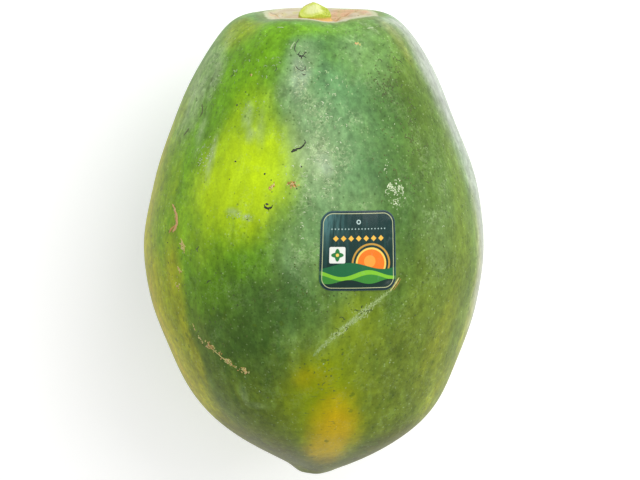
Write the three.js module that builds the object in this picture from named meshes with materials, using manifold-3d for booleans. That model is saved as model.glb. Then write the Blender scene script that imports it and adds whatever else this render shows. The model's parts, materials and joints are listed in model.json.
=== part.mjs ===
// A ripening papaya lying on its side, with a cut stub of its stalk and a small produce sticker.
//
// The fruit is modelled in a frame of its own: x to its right, y along its length from the blossom tip
// to the stem end, z out of its front. It is then tipped to the angle at which it comes to rest, its
// back is cut to the small flat spot it lies on, and the whole is centred over that spot, z up.
// Lengths are in millimetres and angles in degrees.

import * as THREE from "three";
import { mergeVertices } from "three/addons/utils/BufferGeometryUtils.js";
import Module from "manifold-3d";

// Control points of the fruit's outline, a cubic B-spline from the blossom tip over the shoulders and
// down into the hollow at the stem end. `at` is the place along the fruit, `radius` is measured from the
// core line, and `lean` is how far that core line is pushed to the right.
const OUTLINE = [
  { at: 0, radius: 0, lean: -1 },
  { at: 0, radius: 8, lean: -1 },
  { at: 3, radius: 11, lean: 0.5 },
  { at: 12, radius: 27.5, lean: 2.3 },
  { at: 29, radius: 52.5, lean: 2.2 },
  { at: 50, radius: 64, lean: 0.8 },
  { at: 76, radius: 74, lean: 0 },
  { at: 107, radius: 79.5, lean: 0 },
  { at: 140, radius: 75, lean: 0 },
  { at: 172, radius: 62.8, lean: 0.6 },
  { at: 197, radius: 51.3, lean: 1.1 },
  { at: 213, radius: 38.4, lean: 1 },
  { at: 216, radius: 25, lean: 0.4 },
  { at: 211.5, radius: 15, lean: 0 },
  { at: 210.5, radius: 7, lean: 0 },
  { at: 210.5, radius: 0, lean: 0 },
];

// Five soft lobes run the length of the fruit. Their height is a share of the radius: a little
// everywhere, more over the shoulders and over the blossom end. `turn` is where the front furrow lies;
// the furrow at the front is the deepest and those at the back hardly show. The crest round the hollow
// is lifted, and rises and falls with the lobes.
const LOBES = {
  count: 5,
  turn: 16.5,
  middling: 0.72,
  towardsFront: 0.66,
  everywhere: 0.006,
  shoulder: { height: 0.02, at: 205, spread: 38 },
  blossom: { height: 0.012, at: 25, spread: 25 },
  crest: { lift: 0.6, rise: 0.7, at: 214, spread: 9 },
  fade: { none: 8, full: 26 },
  furrow: 0.1,
};

const REST = { pitch: 4, flatDepth: 0.8 };
const SKIN = { around: 80, along: 52 };

const STUB = {
  seat: 0.4, // how far the hollow has risen under the foot's edge
  footRadius: 7.8,
  neckRadius: 6.4,
  topRadius: 6.2,
  height: 16,
  cut: { height: 6.7, towardsBack: 22.8, towardsRight: 17.4 },
  tear: { height: 7.4, towardsBack: 22.8, towardsRight: -21 },
  sides: 24,
  ovality: 1.08,
};

const LABEL = {
  side: 34,
  corner: 5.5,
  thickness: 0.6,
  along: 121.8,
  around: 14.3,
  turn: -2,
  cells: 12,
};

const GAP = 0.3; // between touching pieces

const SKIN_GREEN = 0x6f9a45;
const STUB_GREEN = 0xb4c45a;
const LABEL_GREEN = 0x1d4a42;

const radians = THREE.MathUtils.degToRad;

const wasm = await Module();
wasm.setup();

// The hump that a lobe's height follows along the fruit.
function hump(at, { at: middle, spread }) {
  return Math.exp(-(((at - middle) / spread) ** 2));
}

// The fruit's outline before its lobes: [at, radius, lean] for t from 0 at the tip to 1 in the hollow.
function outlineAt(t) {
  const last = OUTLINE.length - 1;
  const mirrored = ({ at, radius, lean }) => ({ at, radius: -radius, lean });
  const points = [mirrored(OUTLINE[1]), ...OUTLINE, mirrored(OUTLINE[last - 1])];
  const span = Math.min(Math.floor(t * last), last - 1);
  const f = t * last - span;
  const weights = [
    (1 - f) ** 3,
    3 * f ** 3 - 6 * f ** 2 + 4,
    -3 * f ** 3 + 3 * f ** 2 + 3 * f + 1,
    f ** 3,
  ].map((w) => w / 6);
  const blend = (key) => weights.reduce((sum, w, k) => sum + w * points[span + k][key], 0);
  return [blend("at"), blend("radius"), blend("lean")];
}

// Highest on a lobe's back and lowest in the furrow between two lobes.
function lobeShape(around) {
  const turned = around - radians(LOBES.turn);
  const strength = LOBES.middling + LOBES.towardsFront * Math.cos(turned);
  const wave = Math.cos(LOBES.count * turned) + LOBES.furrow * Math.cos(2 * LOBES.count * turned);
  return -strength * wave;
}

// A point of the skin, in the fruit's own frame. around is the angle from the front towards the right.
function skinAt(t, around) {
  const [at, radius, lean] = outlineAt(t);
  const fade = THREE.MathUtils.smoothstep(radius, LOBES.fade.none, LOBES.fade.full);
  const height =
    LOBES.everywhere +
    LOBES.shoulder.height * hump(at, LOBES.shoulder) +
    LOBES.blossom.height * hump(at, LOBES.blossom);
  const lobed = radius * (1 + fade * height * lobeShape(around));
  const crest = LOBES.crest.lift + LOBES.crest.rise * lobeShape(around);
  return new THREE.Vector3(
    lobed * Math.sin(around) + lean,
    at + fade * hump(at, LOBES.crest) * crest,
    lobed * Math.cos(around),
  );
}

// The t at which the outline reaches a place along the fruit, on its way up the side.
function outlineParameter(at) {
  let low = 0;
  let high = 0.75;
  while (high - low > 1e-6) {
    const middle = (low + high) / 2;
    if (outlineAt(middle)[0] < at) low = middle;
    else high = middle;
  }
  return low;
}

// The skin's outward normal, from two short steps along it.
function skinNormal(t, around) {
  const step = 1e-3;
  const onward = skinAt(t + step, around).sub(skinAt(t - step, around));
  const aside = skinAt(t, around + step).sub(skinAt(t, around - step));
  return aside.cross(onward).normalize();
}

// A three.js geometry as a manifold-3d solid, and back.
function solidOf(geometry) {
  const bare = geometry.clone();
  bare.deleteAttribute("normal");
  bare.deleteAttribute("uv");
  const merged = mergeVertices(bare, 1e-4);
  return new wasm.Manifold(
    new wasm.Mesh({
      numProp: 3,
      vertProperties: merged.attributes.position.array,
      triVerts: new Uint32Array(merged.index.array),
    }),
  );
}

function geometryOf(solid) {
  const mesh = solid.getMesh();
  const geometry = new THREE.BufferGeometry();
  geometry.setAttribute("position", new THREE.BufferAttribute(mesh.vertProperties, 3));
  geometry.setIndex(new THREE.BufferAttribute(mesh.triVerts, 1));
  geometry.computeVertexNormals();
  return geometry;
}

// The whole fruit: a sphere's net of faces, with every vertex moved on to the skin.
function fruitGeometry() {
  const geometry = new THREE.SphereGeometry(1, SKIN.around, SKIN.along);
  const { position, uv } = geometry.attributes;
  for (let i = 0; i < position.count; i += 1) {
    const around = Math.atan2(position.getX(i), position.getZ(i));
    position.setXYZ(i, ...skinAt(uv.getY(i), around));
  }
  return geometry;
}

// What is taken off the stalk above a slanting plane, which rises towards the back and the right.
function cutAway({ height, towardsBack, towardsRight }) {
  const above = new THREE.BoxGeometry(60, 20, 60)
    .translate(0, 10, 0)
    .rotateZ(radians(towardsRight))
    .rotateX(radians(towardsBack))
    .translate(0, height, 0);
  return solidOf(above);
}

// The stub of the stalk: a short turned stem with a spread foot. It is cut off aslant, highest at the
// back, and to the right of a low ridge the torn strip falls away again.
function stubGeometry() {
  const foot = OUTLINE.at(-1).at + STUB.seat + GAP;
  const side = new THREE.SplineCurve([
    new THREE.Vector2(STUB.footRadius, 0),
    new THREE.Vector2(STUB.neckRadius + 0.6, 2),
    new THREE.Vector2(STUB.neckRadius, 5),
    new THREE.Vector2(STUB.topRadius, STUB.height),
  ]);
  const profile = [
    new THREE.Vector2(0, 0),
    ...side.getPoints(9),
    new THREE.Vector2(0, STUB.height),
  ];
  const stem = new THREE.LatheGeometry(profile, STUB.sides);
  const cut = solidOf(stem).subtract(cutAway(STUB.cut)).subtract(cutAway(STUB.tear));
  return geometryOf(cut).scale(STUB.ovality, 1, 1).translate(0, foot, 0);
}

// Rounds the corners of the square label: the square at each corner is drawn in to a quarter disc.
function roundCorner(x, y) {
  const straight = LABEL.side / 2 - LABEL.corner;
  const dx = Math.abs(x) - straight;
  const dy = Math.abs(y) - straight;
  if (dx <= 0 || dy <= 0) return [x, y];
  const pull = Math.max(dx, dy) / Math.hypot(dx, dy);
  return [Math.sign(x) * (straight + dx * pull), Math.sign(y) * (straight + dy * pull)];
}

// The sticker: a thin rounded square wrapped on the skin.
function labelGeometry() {
  const geometry = new THREE.BoxGeometry(
    LABEL.side,
    LABEL.side,
    LABEL.thickness,
    LABEL.cells,
    LABEL.cells,
    1,
  );
  const { position } = geometry.attributes;
  const girth = outlineAt(outlineParameter(LABEL.along))[1];
  const turn = radians(LABEL.turn);
  for (let i = 0; i < position.count; i += 1) {
    const [x, y] = roundCorner(position.getX(i), position.getY(i));
    const aside = x * Math.cos(turn) - y * Math.sin(turn);
    const onward = x * Math.sin(turn) + y * Math.cos(turn);
    const t = outlineParameter(LABEL.along + onward);
    const around = radians(LABEL.around) + aside / girth;
    const lift = GAP + LABEL.thickness / 2 + position.getZ(i);
    position.setXYZ(i, ...skinAt(t, around).addScaledVector(skinNormal(t, around), lift));
  }
  return geometry;
}

// Cuts the flat spot that the fruit rests on. The fruit is already tipped, so the cut is level.
function withFlatSpot(geometry) {
  geometry.computeBoundingBox();
  const floor = geometry.boundingBox.min.z + REST.flatDepth;
  const slab = new THREE.BoxGeometry(400, 400, 100).translate(0, 0, floor - 50);
  return geometryOf(solidOf(geometry).subtract(solidOf(slab)));
}

function piece(name, geometry, color, roughness) {
  const material = new THREE.MeshStandardMaterial({ color, roughness, metalness: 0 });
  const mesh = new THREE.Mesh(geometry, material);
  mesh.name = name;
  return mesh;
}

// Tips a piece from the fruit's own frame to the way the fruit lies: the stem end a little raised.
function tipped(geometry) {
  return geometry.rotateX(radians(REST.pitch));
}

const papaya = new THREE.Group();
papaya.add(
  piece("fruit", withFlatSpot(tipped(fruitGeometry())), SKIN_GREEN, 0.45),
  piece("stalk_stub", tipped(stubGeometry()), STUB_GREEN, 0.6),
  piece("label", tipped(labelGeometry()), LABEL_GREEN, 0.3),
);

const box = new THREE.Box3().setFromObject(papaya, true);
const middle = box.getCenter(new THREE.Vector3());
papaya.position.set(-middle.x, -middle.y, -box.min.z);

export default papaya;
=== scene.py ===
import json
from types import SimpleNamespace

import bpy
import numpy as np
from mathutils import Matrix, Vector

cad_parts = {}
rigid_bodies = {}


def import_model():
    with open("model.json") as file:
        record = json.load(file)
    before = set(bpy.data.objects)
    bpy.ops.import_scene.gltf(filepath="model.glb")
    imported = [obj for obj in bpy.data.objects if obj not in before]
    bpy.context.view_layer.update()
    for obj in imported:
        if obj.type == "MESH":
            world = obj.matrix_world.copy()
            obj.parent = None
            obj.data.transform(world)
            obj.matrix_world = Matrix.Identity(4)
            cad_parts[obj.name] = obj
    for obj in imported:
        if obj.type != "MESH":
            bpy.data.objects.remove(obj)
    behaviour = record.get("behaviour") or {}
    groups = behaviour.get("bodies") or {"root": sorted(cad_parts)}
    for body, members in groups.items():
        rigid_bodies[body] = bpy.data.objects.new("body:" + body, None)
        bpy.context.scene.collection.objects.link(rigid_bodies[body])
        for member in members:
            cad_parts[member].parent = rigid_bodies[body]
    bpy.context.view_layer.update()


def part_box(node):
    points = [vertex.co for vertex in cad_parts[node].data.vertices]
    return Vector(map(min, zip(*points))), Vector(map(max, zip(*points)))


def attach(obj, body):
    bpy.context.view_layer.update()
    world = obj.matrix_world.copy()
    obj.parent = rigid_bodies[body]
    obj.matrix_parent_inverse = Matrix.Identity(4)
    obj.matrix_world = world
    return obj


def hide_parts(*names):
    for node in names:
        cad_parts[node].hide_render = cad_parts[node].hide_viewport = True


for leftover in list(bpy.data.objects):
    bpy.data.objects.remove(leftover)
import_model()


# ---- The body of the fruit -------------------------------------------------------------------------
# One grown berry: a closed skin from the blossom tip over five soft lobes to the hollow round its stalk.
# It lies on its back, tipped a little towards its blossom end, where its weight flattens a small spot.

MM = 0.001

# Control points of the outline, a cubic B-spline: place along the fruit, radius, lean to the right.
OUTLINE = np.array([
    (0, 0, -1),
    (0, 8, -1),
    (3, 11, 0.5),
    (12, 27.5, 2.3),
    (29, 52.5, 2.2),
    (50, 64, 0.8),
    (76, 74, 0),
    (107, 79.5, 0),
    (140, 75, 0),
    (172, 62.8, 0.6),
    (197, 51.3, 1.1),
    (213, 38.4, 1),
    (216, 25, 0.4),
    (211.5, 15, 0),
    (210.5, 7, 0),
    (210.5, 0, 0),
])
# The lobes: how many, where the front furrow lies, how strong they are all round and how much more at the
# front, and how much sharper the furrows are than the backs.
LOBES, LOBE_TURN = 5, 16.5
LOBE_ALL_ROUND, LOBE_AT_FRONT, LOBE_SHARPER = 0.72, 0.66, 0.1
# Their height as a share of the radius: everywhere, and more over the shoulder and the nose, each with
# its place along the fruit and its spread. They fade in between two radii.
LOBE_HEIGHT = 0.006
SHOULDER_HEIGHT, SHOULDER = 0.02, (205, 38)
NOSE_HEIGHT, NOSE = 0.012, (25, 25)
LOBE_FADE = (8, 26)
# The crest round the hollow: how high it stands, how much more on the lobes, and its place and spread.
CREST_LIFT, CREST_RISE, CREST = 0.6, 0.7, (214, 9)
REST_PITCH = 4
ROWS, COLUMNS = 244, 400
SIDE_END, HOLLOW_START = 0.74, 0.78  # the outline's t where the side gives way to the hollow


def smoothstep(low, high, x):
    """0 at low, 1 at high, smooth between and level beyond; low may be the greater"""
    s = np.clip((x - low) / (high - low), 0, 1)
    return s * s * (3 - 2 * s)


def hump(x, middle, spread):
    """1 at the middle, dying away on both sides"""
    return np.exp(-(((x - middle) / spread) ** 2))


def outline_at(t):
    """place along, radius and lean for t from 0 at the tip to 1 in the hollow"""
    spans = len(OUTLINE) - 1
    mirror = (1, -1, 1)
    points = np.vstack([OUTLINE[1] * mirror, OUTLINE, OUTLINE[-2] * mirror])
    span = np.clip(np.floor(t * spans), 0, spans - 1).astype(int)
    f = (t * spans - span)[:, None]
    weights = (
        (1 - f) ** 3,
        3 * f**3 - 6 * f**2 + 4,
        -3 * f**3 + 3 * f**2 + 3 * f + 1,
        f**3,
    )
    return (sum(w * points[span + k] for k, w in enumerate(weights)) / 6).T


def lobe_shape(around):
    """highest on a lobe's back; the furrow at the front is the deepest"""
    turned = np.radians(around - LOBE_TURN)
    strength = LOBE_ALL_ROUND + LOBE_AT_FRONT * np.cos(turned)
    return -strength * (np.cos(LOBES * turned) + LOBE_SHARPER * np.cos(2 * LOBES * turned))


# The slow waves of a grown skin: height in millimetres, waves round the fruit, length along it, start.
SWELLS = ((0.35, 2, 21, 0), (0.25, 3, -13, 1.3), (0.16, 7, 9, 0.4))
BAND_HEIGHT, BAND_LENGTH = 0.12, 5.5
SWELL_FADE = (2, 20)  # the radii between which they fade in


def swells(along, around):
    """the slow unevenness of a grown thing, in millimetres"""
    angle = np.radians(around)
    waves = (high * np.sin(count * angle + along / long + start) for high, count, long, start in SWELLS)
    return sum(waves) + BAND_HEIGHT * np.sin(along / BAND_LENGTH + 2 * np.sin(2 * angle))


CORK_RIM, CORK_MIDDLE = (27, 23), (7, 10)  # the radii between which the cork's relief fades in
RING_HEIGHT, RING_PACE = 0.28, 1.35
CRACKS, CRACK_DEPTH, CRACK_EDGE = 9, 0.5, (0.86, 1)
# The blossom scar: a knob, a moat round it and a star, each with its height and its radius and spread.
KNOB_HEIGHT, KNOB = 0.9, (0, 2.6)
MOAT_DEPTH, MOAT = 0.45, (5, 1.8)
STAR_HEIGHT, STAR_POINTS, STAR = 0.35, 5, (3.6, 2.2)
BLOSSOM_FADE = (14, 4)  # the places along the fruit between which the scar fades in


def corky(radius, in_hollow):
    """where the floor of the hollow is corky, 0 to 1"""
    return in_hollow * smoothstep(*CORK_RIM, radius) * smoothstep(*CORK_MIDDLE, radius)


def cracks(radius, around):
    """the cracks that run out from the stalk over the cork, 0 to 1"""
    angle = np.radians(around)
    wander = 1.7 * np.sin(2 * angle + 1)
    spread = CRACKS * angle + wander + 0.9 * np.sin(radius / 4 + 2 * np.sin(3 * angle))
    open_here = smoothstep(-0.5, 0.4, np.sin(5 * angle + radius / 5))
    return smoothstep(*CRACK_EDGE, np.cos(spread)) * open_here


def end_relief(along, radius, around, in_hollow):
    """the corky rings and cracks round the stalk, and the knob of the blossom scar, in millimetres"""
    angle = np.radians(around)
    wander = 1.2 * np.sin(3 * angle) + 0.8 * np.sin(7 * angle + 1)
    rings = RING_HEIGHT * np.sin((radius + wander) * RING_PACE)
    knob = KNOB_HEIGHT * hump(radius, *KNOB) - MOAT_DEPTH * hump(radius, *MOAT)
    star = STAR_HEIGHT * np.cos(STAR_POINTS * angle) * hump(radius, *STAR)
    blossom = (1 - in_hollow) * smoothstep(*BLOSSOM_FADE, along) * (knob + star)
    return corky(radius, in_hollow) * (rings - CRACK_DEPTH * cracks(radius, around)) + blossom


def skin_at(t, around):
    """points of the skin in the fruit's own frame, without its fine relief"""
    along, radius, lean = outline_at(t)
    angle = np.radians(around)
    fade = smoothstep(*LOBE_FADE, radius)
    share = LOBE_HEIGHT + SHOULDER_HEIGHT * hump(along, *SHOULDER) + NOSE_HEIGHT * hump(along, *NOSE)
    lobed = radius * (1 + fade * share * lobe_shape(around))
    rise = fade * hump(along, *CREST) * (CREST_LIFT + CREST_RISE * lobe_shape(around))
    x = lobed * np.sin(angle) + lean
    z = lobed * np.cos(angle)
    return np.column_stack([x, along + rise, z])


def unit(vectors):
    """the same vectors, each one long"""
    return vectors / np.linalg.norm(vectors, axis=1, keepdims=True).clip(1e-9)


def skin_normal(t, around):
    """the way straight out of the smooth skin, from two short steps along it"""
    step = 1e-3
    turn = np.degrees(step)
    onward = skin_at(t + step, around) - skin_at(t - step, around)
    aside = skin_at(t, around + turn) - skin_at(t, around - turn)
    return unit(np.cross(aside, onward))


def relief_at(t, around):
    """how far the grown skin stands off the smooth one"""
    along, radius, _ = outline_at(t)
    in_hollow = smoothstep(SIDE_END, HOLLOW_START, t)
    fade = smoothstep(*SWELL_FADE, radius) * (1 - in_hollow)
    return fade * swells(along, around) + end_relief(along, radius, around, in_hollow)


def grown_skin(t, around, height=0.0):
    """points that lie that high over the grown skin"""
    lift = relief_at(t, around) + height
    return skin_at(t, around) + skin_normal(t, around) * lift[:, None]


def lay_down(points):
    """from the fruit's own frame to the way it lies, in millimetres, not yet in its place"""
    pitch = np.radians(REST_PITCH)
    x, y, z = points.T
    return np.column_stack([
        x,
        y * np.cos(pitch) - z * np.sin(pitch),
        y * np.sin(pitch) + z * np.cos(pitch),
    ])


def fruit_place():
    """how far the lying fruit is moved, so that it fills the box of its solid"""
    rows, columns = 400, 360
    t = np.repeat(np.linspace(0, 1, rows), columns)
    around = np.tile(np.arange(columns) * 360.0 / columns, rows)
    lying = lay_down(skin_at(t, around))
    low, high = (np.array(corner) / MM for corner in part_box("fruit"))
    middle = (low[0] + high[0]) / 2 - (lying[:, 0].min() + lying[:, 0].max()) / 2
    return np.array([middle, low[1] - lying[:, 1].min(), high[2] - lying[:, 2].max()])


PLACE = fruit_place()


def to_row(points):
    """from the fruit's own frame to metres in the row's frame"""
    return (lay_down(points) + PLACE) * MM


ALONG_TABLE = np.linspace(0, SIDE_END, 2000)


def t_at(along):
    """the outline's t at a place along the side of the fruit"""
    return np.interp(along, outline_at(ALONG_TABLE)[0], ALONG_TABLE)


def new_piece(name, points, faces, material):
    """a smooth mesh of points in metres, which rides the row's one body"""
    mesh = bpy.data.meshes.new(name)
    mesh.from_pydata(points.tolist(), [], faces)
    mesh.update()
    mesh.shade_smooth()
    mesh.materials.append(material)
    piece = bpy.data.objects.new(name, mesh)
    bpy.context.scene.collection.objects.link(piece)
    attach(piece, "root")
    return piece


def give(piece, name, values):
    """stores a number or a vector for each vertex, for the material to read"""
    kind, field = ("FLOAT", "value") if values.ndim == 1 else ("FLOAT_VECTOR", "vector")
    layer = piece.data.attributes.new(name, kind, "POINT")
    layer.data.foreach_set(field, values.astype(np.float32).ravel())


def even_rows(count):
    """values of t that lie evenly spaced along the skin, from pole to pole"""
    t = np.linspace(0, 1, 4000)
    along, radius, _ = outline_at(t)
    walked = np.concatenate([[0], np.cumsum(np.hypot(np.diff(along), np.diff(radius)))])
    return np.interp(np.linspace(0, walked[-1], count), walked, t)


def capped_rings(rings, sides, mirrored=False):
    """the faces over rings of points, row by row between a single first and a single last point"""
    last = rings * sides + 1
    faces = []
    for side in range(sides):
        beside = (side + 1) % sides
        c, d = (beside, side) if mirrored else (side, beside)
        faces.append((0, 1 + d, 1 + c))
        faces.append((last, last - sides + c, last - sides + d))
        for r in range(rings - 1):
            here, above = 1 + r * sides, 1 + (r + 1) * sides
            faces.append((here + c, here + d, above + d, above + c))
    return faces


def fruit_net():
    """t and around of every vertex, row by row between the two poles, and the faces"""
    t = even_rows(ROWS + 1)[1:-1]
    around = np.arange(COLUMNS) * 360 / COLUMNS - 180
    all_t = np.concatenate([[0], np.repeat(t, COLUMNS), [1]])
    all_around = np.concatenate([[0], np.tile(around, len(t)), [0]])
    return all_t, all_around, capped_rings(len(t), COLUMNS)


# Patches of the skin's own colours, and of painted shade, sheen, highlights and reflections, as soft
# ovals: place along, angle around, half length and half width in millimetres, turn, strength. The blossom
# end and the sunny sides ripen first.
PATCHES = {
    "olive": (
        (150, 52, 64, 24, 0, 0.8),
        (90, 40, 50, 30, 0, 0.7),
        (60, 40, 36, 20, 0, 0.5),
        (60, -48, 40, 14, 6, 0.6),
        (210, -64, 7, 14, 0, 0.8),
        (32, -30, 16, 26, 0, 0.7),
        (24, 30, 14, 14, 0, 0.5),
        (80, 110, 50, 30, 0, 0.5),
        (188, 58, 30, 16, 0, 0.4),
    ),
    "dusk": (
        (176, 8, 44, 20, 0, 0.85),
        (204, 14, 10, 22, 0, 0.5),
        (156, 27, 38, 12, 0, 0.5),
        (118, 2, 26, 16, 0, 0.4),
        (102, -12, 30, 18, 0, 0.3),
        (150, 100, 60, 40, 0, 0.4),
        (150, -120, 60, 50, 0, 0.4),
    ),
    # a deeper green, and in places painted shade
    "deep_green_and_shade": (
        (94, -22, 28, 20, 0, 0.8),
        (76, -30, 28, 20, 0, 0.5),
        (98, -8, 12, 10, 0, 0.5),
        (98, -1, 14, 8, 0, 0.35),
        (190, -42, 8, 6, 0, 0.6),
        (181, -38, 8, 6, 0, 0.3),
        # painted shadow of the sticker, below it and to its right, over a deeper green
        (99, 27, 8, 5, 0, 0.4),
        (122, 30, 20, 5, 0, 0.4),
        (100, 13, 5, 14, 0, 0.35),
        (91, 25, 6, 6, 0, 0.4),
        (160, 38, 44, 20, 0, 0.6),
        (170, 24, 30, 10, 0, 0.3),
        (186, 33, 12, 8, 0, 0.4),
        (164, 46, 26, 14, 0, 0.4),
        (145, 30, 15, 9, 0, 0.6),
        (204, 2, 5, 22, 0, 0.5),
        # painted shade at the blossom end
        (16, 0, 12, 40, 0, 0.5),
        (80, 110, 50, 30, 0, 0.6),
        (95, -130, 50, 34, 0, 0.6),
        (185, 80, 20, 16, 0, 0.4),
        (120, 170, 40, 26, 0, 0.4),
    ),
    "leafy": (
        (194, -38, 22, 17, 0, 0.85),
        (170, -16, 12, 6, 0, 0.4),
        (122, -22, 14, 12, 0, 0.55),
        (144, -10, 10, 8, 0, 0.3),
        (178, -44, 44, 14, 0, 0.85),
        (128, -60, 48, 15, 0, 0.95),
        (118, -36, 24, 18, 0, 0.6),
        (104, -54, 26, 14, 0, 0.6),
        (204, 24, 10, 14, 0, 0.3),
        (170, -74, 46, 14, 0, 0.55),
        (209, -42, 7, 14, 0, 0.7),
        (213, -16, 4, 26, 0, 0.8),
        (148, -54, 20, 9, 0, 0.6),
        (200, -22, 8, 4, 0, 0.5),
        (191, -41, 6, 5, 0, 0.6),
    ),
    "straw": (
        (100, -84, 74, 18, 0, 0.95),
        (112, -62, 44, 8, 0, 0.3),
        (102, -54, 24, 7, 4, 0.5),
        (75, -51, 17, 5, 8, 0.6),
        (72, 50, 22, 8, -8, 0.2),
        (74, -66, 36, 14, 12, 0.9),
        (50, -68, 20, 10, 10, 0.8),
        (34, -60, 22, 12, 10, 0.4),
        (210, -60, 7, 10, 0, 0.35),
        (206, 54, 9, 3, 0, 0.25),
        (84, 72, 46, 8, 0, 0.4),
        (40, 62, 22, 10, 0, 0.3),
        (90, -170, 60, 34, 0, 0.45),
        (55, 110, 50, 30, 0, 0.5),
    ),
    "lime": (
        (151, -25, 21, 20, 0, 0.9),
        (140, -40, 22, 14, 0, 0.4),
        (176, -28, 14, 12, 0, 0.3),
        (158, -13, 14, 9, 0, 0.5),
        (168, -10, 10, 4, 0, 0.4),
        (72, 150, 46, 22, 10, 0.8),
        (120, -165, 40, 18, 0, 0.4),
        (40, -140, 26, 18, 0, 0.5),
        (165, 112, 26, 16, 0, 0.4),
    ),
    "ripe": (
        (56, 4, 22, 17, 0, 0.95),
        (34, 7, 18, 14, 0, 0.85),
        (90, 14, 14, 12, 0, 0.5),
        (54, 148, 26, 16, 8, 0.9),
    ),
    "gold": (
        (37, 8, 17, 10, 0, 1.0),
        (64, -1, 6, 8, 0, 0.24),
        (24, 3, 12, 8, 0, 0.85),
        (74, -72, 30, 5, 10, 0.4),
        (54, 148, 26, 12, 8, 0.8),
    ),
    # painted shade: a dark olive brown round the blossom end, standing for the shade at the bottom of the
    # fruit
    "painted_nose_shade": (
        (20, -36, 14, 20, 0, 0.85),
        (20, 44, 14, 16, 0, 0.8),
        (24, -56, 14, 12, 0, 0.5),
        (8, 0, 9, 80, 0, 0.6),
    ),
    # partly waxy bloom and partly a painted sheen: the bluish haze over the upper middle of the front is a
    # painted reflection of the sky
    "bloom_and_sheen": (
        (186, -9, 16, 7, 0, 0.75),
        (201, -7, 6, 6, 0, 0.75),
        (172, -5, 14, 7, 0, 0.4),
        (143, 16, 8, 8, 0, 0.3),
        (158, 2, 24, 13, 0, 0.8),
        (172, 18, 8, 5, 0, 0.3),
        (203, 29, 11, 12, 0, 0.38),
        (136, 45, 26, 10, 0, 0.25),
        (124, -4, 14, 10, 0, 0.3),
        (140, 180, 60, 40, 0, 0.4),
    ),
    # partly waxy bloom and partly painted highlights
    "wax": (
        (158, 1, 10, 6, 6, 0.6),
        (163, -1, 9, 4, 0, 0.4),
        (164, -6, 7, 3, 0, 0.5),
        # painted highlights: the pale grey-green zone high on the left flank
        (186, -68, 20, 10, 0, 0.8),
        (189, -58, 8, 5, 0, 0.6),
        (54, -28.6, 5, 1.6, 0, 0.35),
        (49, -24, 1.6, 5, 0, 0.35),
        # painted highlights: pale streaks down the left flank
        (168, -53, 10, 3, 4, 0.4),
        (158, -42, 9, 2.2, 4, 0.6),
        (177, -29, 5, 2.6, 6, 0.6),
        (169, -26, 3, 2, 10, 0.6),
        (171, -22, 8, 2, 8, 0.3),
        (137.4, -28, 1.3, 3.4, 0, 0.7),
        (135.6, -22.6, 1.4, 2.6, 0, 0.7),
        (212.8, 38, 4, 1.2, 41, 0.7),
        (176, 130, 26, 10, 0, 0.5),
        (160, -150, 30, 10, 0, 0.5),
    ),
    # partly chalky bloom and partly painted reflection and highlights
    "chalk_and_reflection": (
        # painted reflection: the pale grey band along the right flank
        (184, 82, 48, 18, 0, 1.0),
        (174, 82, 34, 10, 0, 0.3),
        (114, 82, 44, 16, 0, 0.9),
        (104, 78, 24, 10, 0, 0.9),
        # pale smears high on the front, partly painted highlights
        (195, -8, 5, 4, 0, 0.45),
        (190, -8, 5, 3, 0, 0.25),
        (199, -10, 3, 2, 20, 0.4),
        (160, 2.5, 4, 3, 0, 0.4),
        (156, 4.5, 3, 2.4, 0, 0.4),
    ),
}
PATCH_FADE = (1.6, 0.3)  # a patch fades in between these shares of its half widths

# A long rub mark across the front: place along and angle around, and its half width there.
RUB = np.array([
    (104, 25.2, 0.3),
    (99.5, 20.4, 0.9),
    (95.2, 16.7, 1.9),
    (91, 12.6, 1.4),
    (86.6, 8.6, 1.7),
    (80.5, 3.1, 1.1),
    (75.5, -0.6, 0.3),
])
RUB_FADE = (1.5, 0.5)  # it fades in between these shares of its half width


def covered(kind, along, around, girth):
    """how strongly each vertex is covered by the patches of one kind, 0 to 1"""
    bare = np.ones_like(along)
    for at, side, length, width, turn, strength in PATCHES[kind]:
        aside = np.radians((around - side + 180) % 360 - 180) * girth
        onward = along - at
        turned = np.radians(turn)
        u = aside * np.cos(turned) + onward * np.sin(turned)
        v = onward * np.cos(turned) - aside * np.sin(turned)
        distance = np.hypot(u / width, v / length)
        bare *= 1 - strength * smoothstep(*PATCH_FADE, distance)
    return 1 - bare


def part_way(line, walked):
    """each column of a table at a place between its rows"""
    return [np.interp(walked, range(len(line)), column) for column in line.T]


def rubbed(along, around, girth):
    """how strongly each vertex lies in the rub mark, 0 to 1"""
    far = np.full_like(along, np.inf)
    for walked in np.linspace(0, len(RUB) - 1, 80):
        at, side, half_width = part_way(RUB, walked)
        aside = np.radians(around - side) * girth
        far = np.minimum(far, np.hypot(along - at, aside) / half_width)
    return smoothstep(*RUB_FADE, far)


TIP_FADE = (9, 0)  # the radii between which the brown scar fades in
TIP_RAYS = (4, 2.4)  # the radius and the spread of its rays


def tip_scar(radius, around):
    """how strongly each vertex lies in the brown scar at the blossom tip, from 0"""
    angle = np.radians(around)
    rays = (0.05 * np.cos(STAR_POINTS * angle) + 0.08 * np.sin(2 * angle + 1)) * hump(radius, *TIP_RAYS)
    return smoothstep(*TIP_FADE, radius) + rays


LEAST_GIRTH = 6  # patches are measured at no smaller radius, so that they don't run round the tip
CORK_SHORT, CORK_SHORT_AT = 5, (-86, 34)  # on the left the cork stops short: how far, its angle and spread
OUT_OF_REACH = 99.0  # the reach of the cork's colours outside the hollow


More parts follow.
